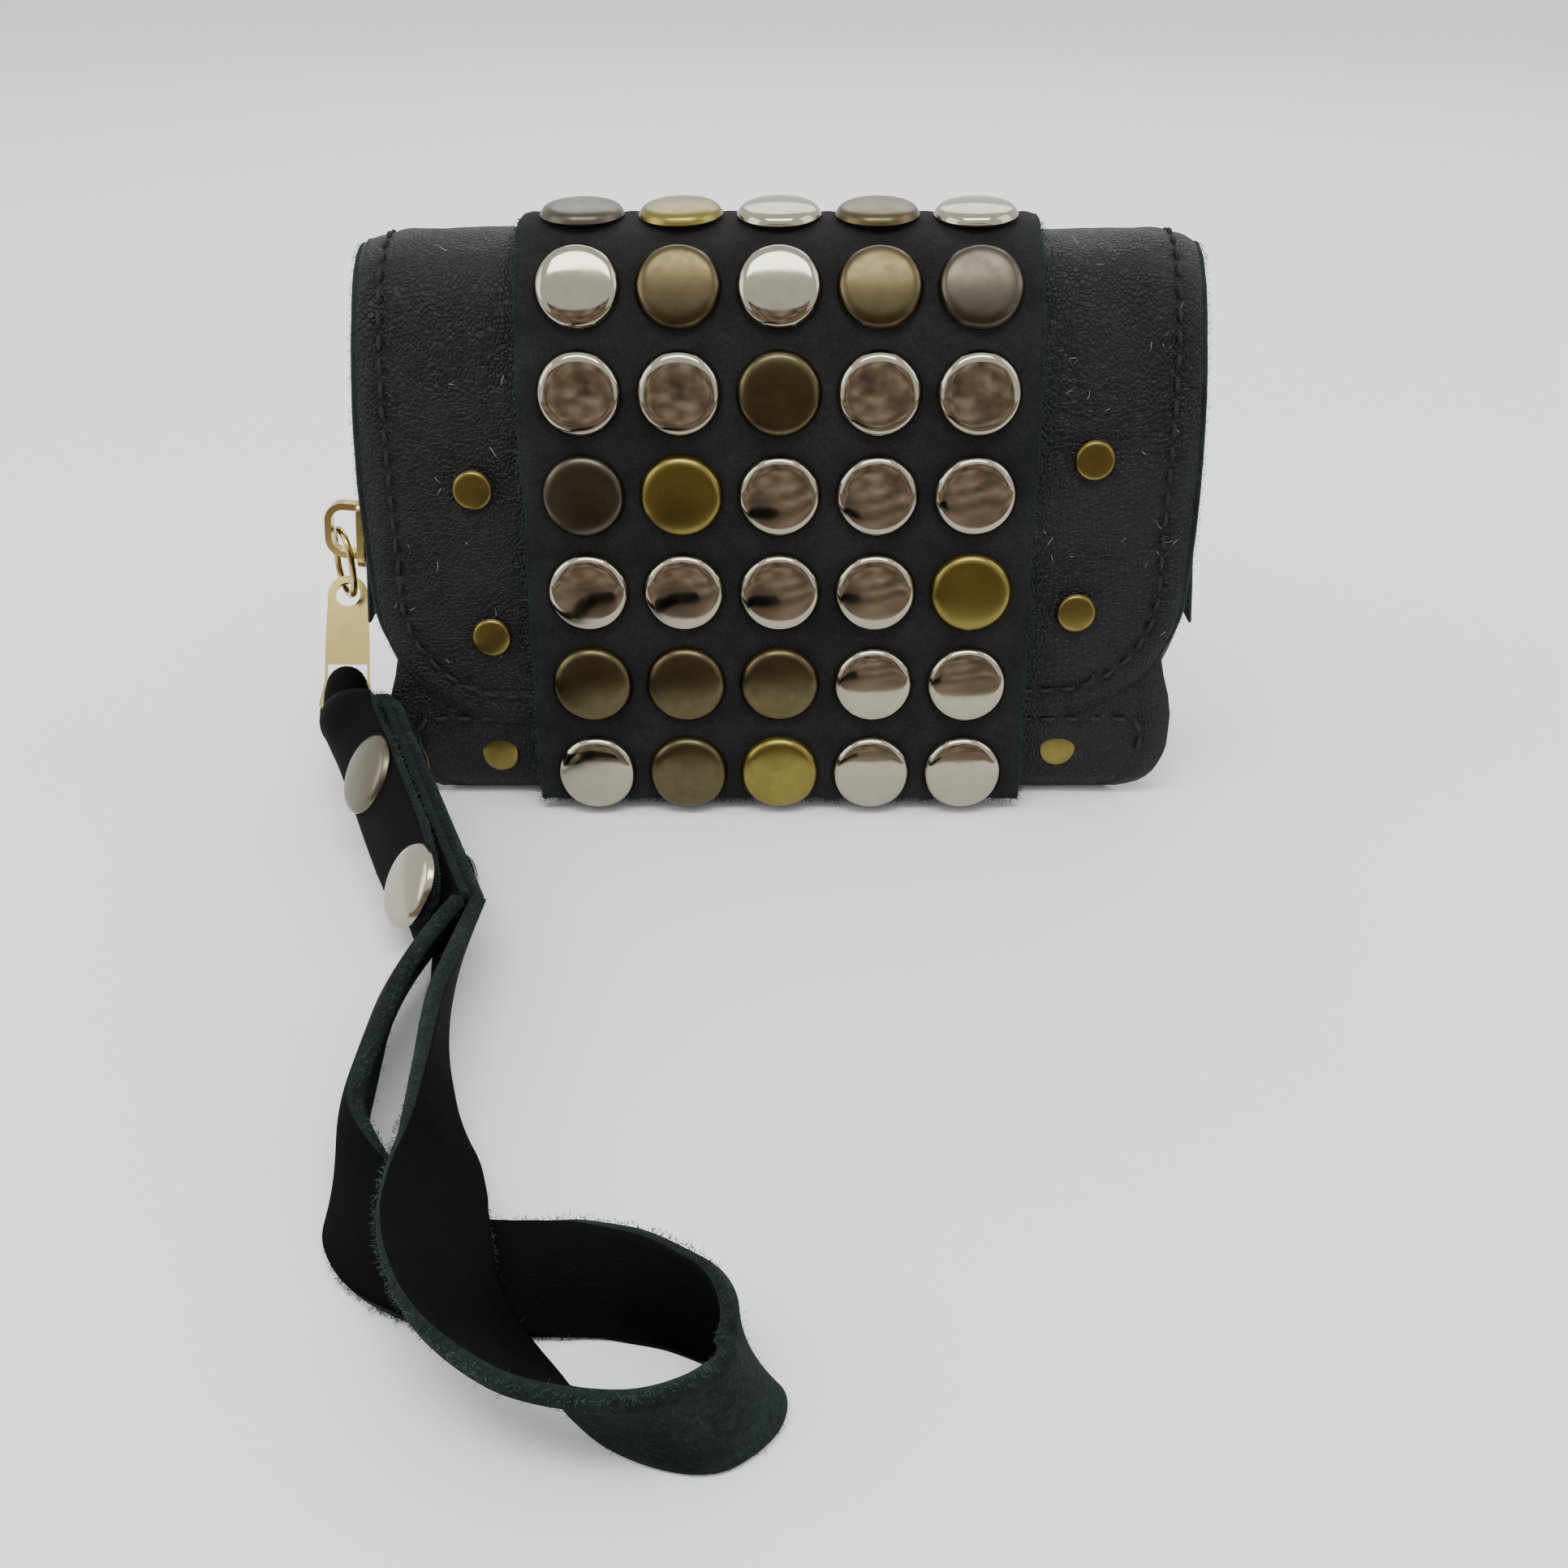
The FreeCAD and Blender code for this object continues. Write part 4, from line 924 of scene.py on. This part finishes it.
LEAN = math.radians(5.4)
LOW_CORNER, TOP_CORNER = 26.0, 17.0
POUCH_BASE, POUCH_TOP, HALF_BASE = 3.6, 75.0, 39.9
ZIP_FROM = 26.0
SIDE_LOW = POUCH_BASE + LOW_CORNER * (1 + math.sin(LEAN))
TOP_RISE = TOP_CORNER * (1 - math.sin(LEAN))
SIDE_RUN = (POUCH_TOP - TOP_RISE - SIDE_LOW) / math.cos(LEAN)
SIDE_LOW_X = -(HALF_BASE + LOW_CORNER * math.cos(LEAN))
TOP_START_X = SIDE_LOW_X + SIDE_RUN * math.sin(LEAN) + TOP_CORNER * math.cos(LEAN)
ZIP_CENTRE = 5.2
LEAN_DEGREES = math.degrees(LEAN)
UP_LEFT = [("line", SIDE_RUN), ("arc", TOP_CORNER, -(90 - LEAN_DEGREES))]
OVER_TOP = [("line", -2 * TOP_START_X)]
DOWN_RIGHT = [("arc", TOP_CORNER, -(90 - LEAN_DEGREES)), ("line", SIDE_RUN)]


def pouch_ring():
    """The pouch's closed outline from its base, up the left side and down the right."""
    corner = ("arc", LOW_CORNER, -(90 + LEAN_DEGREES))
    steps = [("line", HALF_BASE), corner] + UP_LEFT + OVER_TOP + DOWN_RIGHT + [corner, ("line", HALF_BASE)]
    return walk((0.0, POUCH_BASE), 180, steps, 1.5)


# The wall's rings run even with its outline down to EVEN_RINGS, then close in on its middle.
WALL_INSET, WALL_EDGE, EVEN_RINGS, POUCH_MIDDLE = 0.45, 6.5, 18.0, 38.0


def pouch_wall(name, rim_y, face_y, replaced, seed):
    """One soft dished wall of the pouch, from its rim round its edge and over its face."""
    places, rights, _ = pouch_ring()
    places, inward = places[:-1], rights[:-1]
    rings = []
    for turn in np.linspace(0, 1, 9) * math.pi / 2:
        rings.append((WALL_INSET + WALL_EDGE * (1 - math.cos(turn)), math.sin(turn)))
    for step in range(1, 9):
        rings.append((WALL_INSET + WALL_EDGE + step * 3.6, 1.0))
    count = len(places)
    centre = np.array([0.0, POUCH_MIDDLE])
    points = []
    for into, share in rings:
        for place, right in zip(places, inward):
            spot = place + right * min(into, EVEN_RINGS)
            if into > EVEN_RINGS:
                spot = spot + (centre - spot) * (into - EVEN_RINGS) / 24.0
            x, z = spot
            wall = face_y(z) + 0.35 * crinkle(x, z, 13.0, seed) * share
            points.append((x, rim_y + (wall - rim_y) * share, z))
    outer_count = len(rings) * count
    sign = 1.0 if face_y(POUCH_MIDDLE) > rim_y else -1.0
    thick = 1.1
    for n in range(outer_count):
        x, y, z = points[n]
        share = rings[n // count][1]
        right = inward[n % count]
        inset = thick * (1 - share)
        points.append((x + right[0] * inset, y - sign * thick * share, z + right[1] * inset))
    faces = []
    for ring in range(len(rings) - 1):
        for k in range(count):
            a, b = ring * count + k, ring * count + (k + 1) % count
            faces.append((a, b, b + count, a + count))
            a, b = a + outer_count, b + outer_count
            faces.append((b, a, a + count, b + count))
    for k in range(count):
        a, b = k, (k + 1) % count
        faces.append((b, a, a + outer_count, b + outer_count))
    last = (len(rings) - 1) * count
    faces.append(tuple(last + k for k in range(count)))
    faces.append(tuple(outer_count + last + k for k in reversed(range(count))))
    if sign > 0:
        faces = [tuple(reversed(face)) for face in faces]
    piece = make_piece(name, points, faces, [SMOOTH], "root")
    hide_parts(replaced)


POUCH_IN = 6.9
inner_line = [(p[1] - n[1] * POUCH_IN, p[0] - n[0] * POUCH_IN) for p, n in zip(FRONT[0], FRONT[1])]
inner_z, inner_y = np.array(sorted((z, y) for z, y in inner_line if y < 4)).T
pouch_wall("pouch_front_wall", 1.45, lambda z: float(np.interp(z, inner_z, inner_y)), "pouch_front", 2.0)
pouch_wall("pouch_back_wall", 8.95, lambda z: 15.75, "pouch_back", 6.0)


def zip_line(low_end, spacing):
    """The zip's line over the pouch, from low on its left side to low on its right."""
    extra = (low_end - SIDE_LOW) / math.cos(LEAN)
    left = [("line", SIDE_RUN - extra), UP_LEFT[1]]
    right = [DOWN_RIGHT[0], ("line", SIDE_RUN - extra)]
    start_x = SIDE_LOW_X + (low_end - SIDE_LOW) * math.tan(LEAN)
    return walk((start_x, low_end), 90 - LEAN_DEGREES, left + OVER_TOP + right, spacing)


TAPE_NEAR, TAPE_FAR, CLOTH = 1.65, 7.65, 0.55
for word, low_y, high_y in (("front", ZIP_CENTRE - TAPE_FAR, ZIP_CENTRE - TAPE_NEAR),
                            ("back", ZIP_CENTRE + TAPE_NEAR, ZIP_CENTRE + TAPE_FAR)):
    rows = []
    for place, right, s in zip(*zip_line(ZIP_FROM, 1.6)):
        row = []
        for y in np.linspace(low_y, high_y, 12):
            lift = 0.28 + 0.05 * crinkle(s, y, 5.0, 1.0)
            row.append(((place[0] - right[0] * lift, y, place[1] - right[1] * lift),
                        (-right[0], 0, -right[1])))
        rows.append(row)
    tape, _ = shell("zip_cloth_" + word, "root", grids(rows), CLOTH, [TAPE] * 3)
    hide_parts("zip_tape_" + word)

DIVIDER_IN, DIVIDER_Y = 5.2, 4.92
left_side = [(p[1], p[0] + right[0] * DIVIDER_IN) for p, right, _ in zip(*pouch_ring()) if p[0] < 0]
side_z, side_x = np.array(sorted(left_side)).T
rows = []
for z in np.linspace(12.0, 62.0, 40):
    half = -float(np.interp(z, side_z, side_x))
    rows.append([((x, DIVIDER_Y + 0.1 * crinkle(x, z, 12.0, 3.3), z), (0, -1, 0))
                 for x in np.linspace(-half, half, 60)])
divider, _ = shell("pouch_divider", "root", grids(rows), CLOTH, [LINING] * 3)
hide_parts("coin_divider")


# --- wrist strap

STRAP_WIDTH, STRAP_THICK = 11.5, 2.2
STRAP_START = np.array([-71.0, -3.2, 16.2])
STRAP_END = np.array([-46.0, -61.0, 7.0])
ALONG = unit(STRAP_END - STRAP_START)
OUT = np.array([-0.743, -0.393, 0.542])
OUT = unit(OUT - ALONG * (OUT @ ALONG))
UP_END = -np.cross(ALONG, OUT)


def strap_at(along, out=0.0):
    """A point of the strap's riveted end."""
    return STRAP_START + ALONG * along + OUT * out


def swept(name, centres, widths, ups, curls, thick):
    """A strap swept along its centreline. ups is the way across it; curls is how far each half
    of it rolls, in radians. Its grain side faces the tangent crossed with ups."""
    tangents = unit(np.gradient(centres, axis=0))
    ups = unit(ups - tangents * np.sum(ups * tangents, axis=1, keepdims=True))
    faces_out = unit(np.cross(tangents, ups))
    rows = []
    for centre, up, face_out, width, curl in zip(centres, ups, faces_out, widths, curls):
        curl = max(abs(curl), 0.01) * (1 if curl >= 0 else -1)
        radius = width / 2 / curl
        row = []
        for share in np.linspace(1, -1, 15):
            angle = curl * share
            lift = radius * (math.cos(angle) - 1) + radius * (1 - math.cos(curl)) / 2
            normal = face_out * math.cos(angle) + up * math.sin(angle)
            middle = centre + up * radius * math.sin(angle) + face_out * lift
            row.append((middle + normal * thick / 2, normal))
        rows.append(row)
    return shell(name, "strap", grids(rows), thick, [STRAP, SUEDE, SUEDE], 0.2)


LOOP_FROM = 63.6
# The loop's control points and, for each, the way across the strap.
LOOP = [
    (strap_at(LOOP_FROM, 0.4), UP_END),
    ((-50.2, -73.0, 7.0), (0.45, 0.0, 0.89)),
    ((-50.8, -88.0, 6.0), (0.26, 0.0, 0.97)),
    ((-50.6, -103.0, 5.8), (0.12, 0.0, 0.99)),
    ((-46.2, -115.0, 4.6), (0.72, 0.36, 0.60)),
    ((-38.5, -121.0, 3.2), (0.36, 0.86, 0.33)),
    ((-28.0, -122.6, 3.8), (0.14, 0.80, 0.50)),
    ((-17.0, -124.2, 5.4), (0.10, 0.42, 0.88)),
    ((-7.0, -129.0, 5.75), (0.05, 0.15, 0.95)),
    ((-1.5, -137.0, 5.75), (-0.50, 0.0, 0.84)),
    ((-5.5, -143.2, 5.75), (-0.10, 0.15, 0.92)),
    ((-15.0, -143.6, 6.0), (0.0, -0.30, 0.90)),
    ((-25.0, -139.0, 7.0), (-0.45, -0.55, 0.70)),
    ((-33.0, -131.5, 9.0), (-0.75, -0.40, 0.50)),
    ((-37.0, -121.0, 10.0), (-0.92, -0.20, 0.30)),
    ((-37.6, -109.0, 9.0), (-0.62, -0.10, 0.76)),
    ((-40.4, -97.0, 8.0), (-0.20, -0.10, 0.96)),
    ((-43.0, -84.0, 7.2), (0.05, 0.0, 1.0)),
    ((-43.6, -72.0, 6.8), (0.35, 0.0, 0.93)),
    (strap_at(LOOP_FROM, -2.5), UP_END),
]

route = bpy.data.curves.new("loop_route", "CURVE")
route.dimensions = "3D"
spline = route.splines.new("NURBS")
spline.points.add(len(LOOP) - 1)
for point, (place, _) in zip(spline.points, LOOP):
    point.co = (place[0] * MM, place[1] * MM, place[2] * MM, 1)
spline.order_u = 3
spline.use_endpoint_u = True
spline.resolution_u = 14
route_object = put("loop_route", route)
bpy.context.view_layer.update()
line_mesh = bpy.data.meshes.new_from_object(route_object)
loop_line = np.array([tuple(v.co) for v in line_mesh.vertices]) / MM
bpy.data.objects.remove(route_object)
loop_line = loop_line[np.concatenate([[True], np.diff(distances(loop_line)) > 1e-4])]

# The curve passes nearest to each control point at its Greville parameter.
knots = len(LOOP) - 2
greville = [0.0] + [k + 0.5 for k in range(knots)] + [float(knots)]
ways = np.array([way for _, way in LOOP], float)
loop_ups = rows_at(np.linspace(0, knots, len(loop_line)), greville, ways)
for _ in range(6):
    loop_ups[1:-1] = (loop_ups[:-2] + 2 * loop_ups[1:-1] + loop_ups[2:]) / 4
loop_widths = [STRAP_WIDTH + 0.35 * crinkle(n * 0.5, 0.0, 3.0, 12.0) for n in range(len(loop_line))]
loop_curls = [0.22 + 0.25 * crinkle(n * 0.5, 4.0, 9.0, 2.0) for n in range(len(loop_line))]
loop, loop_border = swept("wrist_loop", loop_line, loop_widths, loop_ups, loop_curls, STRAP_THICK)
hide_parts("strap_loop")
loop_fuzz = edge_fibres("loop_fuzz", "strap", loop_border, 0.45, 5, 0.7, 0.10, 0.75)


def smooth_through(rows, count):
    """Rows of numbers joined by a smooth curve through them."""
    rows = np.array(rows, float)
    result = []
    for mark in np.linspace(0, len(rows) - 1, count):
        k = min(int(mark), len(rows) - 2)
        t = mark - k
        before, here = rows[max(k - 1, 0)], rows[k]
        after, beyond = rows[k + 1], rows[min(k + 2, len(rows) - 1)]
        row = 0.5 * (2 * here + (after - before) * t
                     + (2 * before - 5 * here + 4 * after - beyond) * t * t
                     + (3 * here - before - 3 * after + beyond) * t ** 3)
        result.append(row)
    return np.array(result)


PULL_DOWN = unit([0.7, -13.2, -16.0])
PULL_FACE = np.array([0.1, -0.99, 0.0])
PULL_FACE = unit(PULL_FACE - PULL_DOWN * (PULL_FACE @ PULL_DOWN))
PULL_SIDE = np.cross(PULL_DOWN, PULL_FACE)
WINDOW = np.array([-71.4, 5.4, 27.25]) + PULL_DOWN * 14.7


def by_window(down, face):
    """A point near the pull's window."""
    return WINDOW + PULL_DOWN * down + PULL_FACE * face


PULL_UP = -PULL_SIDE if PULL_SIDE @ UP_END < 0 else PULL_SIDE
FOLD_LAYER = 2.3
# Each row is a centre, the way across, the strap's width, and its curl.
FOLD = [
    (strap_at(61.5, FOLD_LAYER), UP_END, 11.5, 0.12),
    (strap_at(50.0, FOLD_LAYER), UP_END, 11.5, 0.15),
    (strap_at(38.0, FOLD_LAYER + 0.1), UP_END, 11.5, 0.18),
    (strap_at(27.0, FOLD_LAYER), UP_END, 11.5, 0.22),
    (strap_at(18.0, FOLD_LAYER + 0.6), UP_END, 11.3, 0.5),
    (strap_at(11.5, FOLD_LAYER + 1.3), unit(UP_END + 0.4 * PULL_UP), 11.0, 1.15),
    (by_window(5.2, 3.3), unit(UP_END + PULL_UP), 10.4, 1.7),
    (by_window(1.4, 2.4), unit(0.5 * UP_END + PULL_UP), 9.6, 2.0),
    (by_window(0.1, 0.0), PULL_UP, 9.0, 2.1),
    (by_window(1.4, -2.6), unit(0.5 * UP_END + PULL_UP), 9.6, 1.9),
    (by_window(5.6, -3.2), unit(UP_END + PULL_UP), 10.4, 1.4),
    (strap_at(14.0, -FOLD_LAYER - 0.6), UP_END, 11.2, 0.7),
    (strap_at(23.0, -FOLD_LAYER), UP_END, 11.5, 0.25),
    (strap_at(38.0, -FOLD_LAYER), UP_END, 11.5, 0.12),
    (strap_at(50.0, -FOLD_LAYER), UP_END, 11.5, 0.1),
    (strap_at(63.2, -FOLD_LAYER), UP_END, 11.5, 0.1),
]
fold_rows = smooth_through([list(c) + list(u) + [w, k] for c, u, w, k in FOLD], 170)
fold_widths = fold_rows[:, 6].copy()
ROUNDED_ROWS = 16
for n in range(ROUNDED_ROWS):
    share = 1 - n / ROUNDED_ROWS
    fold_widths[n] *= math.sqrt(1 - share ** 2 * 0.96)
strap_fold, strap_border = swept("strap_end", fold_rows[:, :3], fold_widths, -fold_rows[:, 3:6],
                                 fold_rows[:, 7], 2.0)
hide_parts("strap_tab")
middle_rows = smooth_through([strap_at(s) for s in (15.0, 27.0, 39.0, 51.0, LOOP_FROM)], 60)
middle_widths = [11.3 + 0.2 * crinkle(n * 0.8, 0, 3.0, 1.0) for n in range(60)]
middle, middle_border = swept("strap_middle", middle_rows, middle_widths, np.tile(UP_END, (60, 1)),
                              [0.12] * 60, 2.1)
end_fuzz = edge_fibres("strap_end_fuzz", "strap", strap_border, 0.5, 6, 0.75, 0.10, 0.8)
middle_fuzz = edge_fibres("strap_middle_fuzz", "strap", middle_border, 0.6, 3, 0.5, 0.08, 0.8)

CAPS_ALONG, CAP_SEAT = (29.0, 56.0), 3.25
strap_cap_spots = [(strap_at(along, way * CAP_SEAT), OUT * way) for along in CAPS_ALONG for way in (1, -1)]
strap_cap_heads = domed("strap_cap_heads", strap_cap_spots, cap_profile(12.5, 1.6, 0.45), STRAP_CAP,
                        "strap", "strap_caps")

loop_nap = nap_fibres("loop_nap", "strap", loop, 2600, 0.7)
end_nap = nap_fibres("strap_end_nap", "strap", strap_fold, 900, 0.7)
middle_nap = nap_fibres("strap_middle_nap", "strap", middle, 300, 0.7)


# --- lint

lint_roots, lint_outs = [], []
for _ in range(46):
    x = dice.choice([-1, 1]) * dice.uniform(39, 60)
    s = dice.uniform(14, FLAP_END - 8)
    if edge_distance(x, s) > 1.5:
        point, up = flap_face.at(x, s)
        flat = unit([dice.uniform(-1, 1), up[2] * dice.uniform(-1, 1), -up[1] * dice.uniform(-1, 1)])
        lint_roots.append(point + up * 0.35)
        lint_outs.append(unit(flat + up * 0.25))
fibres("flap_lint", "flap", lint_roots, lint_outs, 1, 1.5, 0.05, 0.05, LINT)


# --- camera, floor and light

camera_data = bpy.data.cameras.new("camera")
camera_data.lens = 39.13
camera_data.sensor_width = 36.0
camera_data.clip_start = 0.005
camera = put("camera", camera_data)
camera.location = (0.0007, -0.2545, 0.1412)
camera.rotation_euler = (math.radians(60.0), 0, 0)
bpy.context.scene.camera = camera

FLOOR_HALF = 12.0
floor_corners = [(x * FLOOR_HALF, y * FLOOR_HALF, 0) for x, y in ((-1, -1), (1, -1), (1, 1), (-1, 1))]
floor_mesh = bpy.data.meshes.new("floor")
floor_mesh.from_pydata(floor_corners, [], [(0, 1, 2, 3)])
floor_material, floor_shader, _, _ = new_material("floor_pale", grey(0.86), 0.9)
set_inputs(floor_shader, {"Specular IOR Level": 0.1})
floor_mesh.materials.append(floor_material)
floor = put("floor", floor_mesh)


def light_box(name, place, aim, size, power):
    """A rectangular lamp that faces a point; lengths in metres, power in watts."""
    data = bpy.data.lights.new(name, "AREA")
    data.shape = "RECTANGLE"
    data.size, data.size_y = size
    data.energy = power
    lamp = put(name, data)
    lamp.location = place
    lamp.rotation_euler = (Vector(aim) - Vector(place)).to_track_quat("-Z", "Y").to_euler()


light_box("light_above", (0.0, -0.30, 0.75), (0, 0, 0.04), (0.7, 0.22), 4.2)
light_box("light_left", (-0.75, -0.15, 0.45), (0, -0.03, 0.04), (0.5, 0.5), 2.0)
light_box("light_right", (0.75, 0.0, 0.55), (0, -0.03, 0.04), (0.5, 0.5), 1.5)
light_box("light_back", (0.1, 0.7, 0.6), (0, 0, 0.05), (0.8, 0.4), 2.4)

# A brown card from the floor up in front of the wallet, which only the metal sees: it stands for
# the dark side of the room that polished caps reflect. Its browns and blotches are a painted reflection.
card_rows = [(-0.075, 0.0006), (-0.30, 0.0006), (-0.46, 0.03), (-0.56, 0.14), (-0.60, 0.46)]
card_points = [(x, y, z) for y, z in card_rows for x in (-0.50, 0.50)]
card_faces = [(2 * k, 2 * k + 1, 2 * k + 3, 2 * k + 2) for k in range(len(card_rows) - 1)]
card_mesh = bpy.data.meshes.new("dark_card")
card_mesh.from_pydata(card_points, [], card_faces)
card_material, card_shader, card_tree, card_place = new_material("dark_card", (0.11, 0.08, 0.06), 0.9)
# Painted reflection: the card's blotchy browns are seen only as reflections in the caps and metal.
painted_reflection_blotches = noise_node(card_tree, card_place, 9.0, 2.0)
paint(card_tree, card_shader.inputs["Base Color"], painted_reflection_blotches,
      [(0.35, (0.05, 0.035, 0.027)), (0.5, (0.17, 0.12, 0.09)), (0.68, (0.34, 0.29, 0.24))])
card_mesh.materials.append(card_material)
card = put("dark_card", card_mesh)
card.visible_camera = False
card.visible_diffuse = False
card.visible_shadow = False

world = bpy.data.worlds.new("studio")
world.use_nodes = True
set_inputs(world.node_tree.nodes["Background"], {"Color": (0.93, 0.94, 0.95, 1), "Strength": 1.25})
bpy.context.scene.world = world
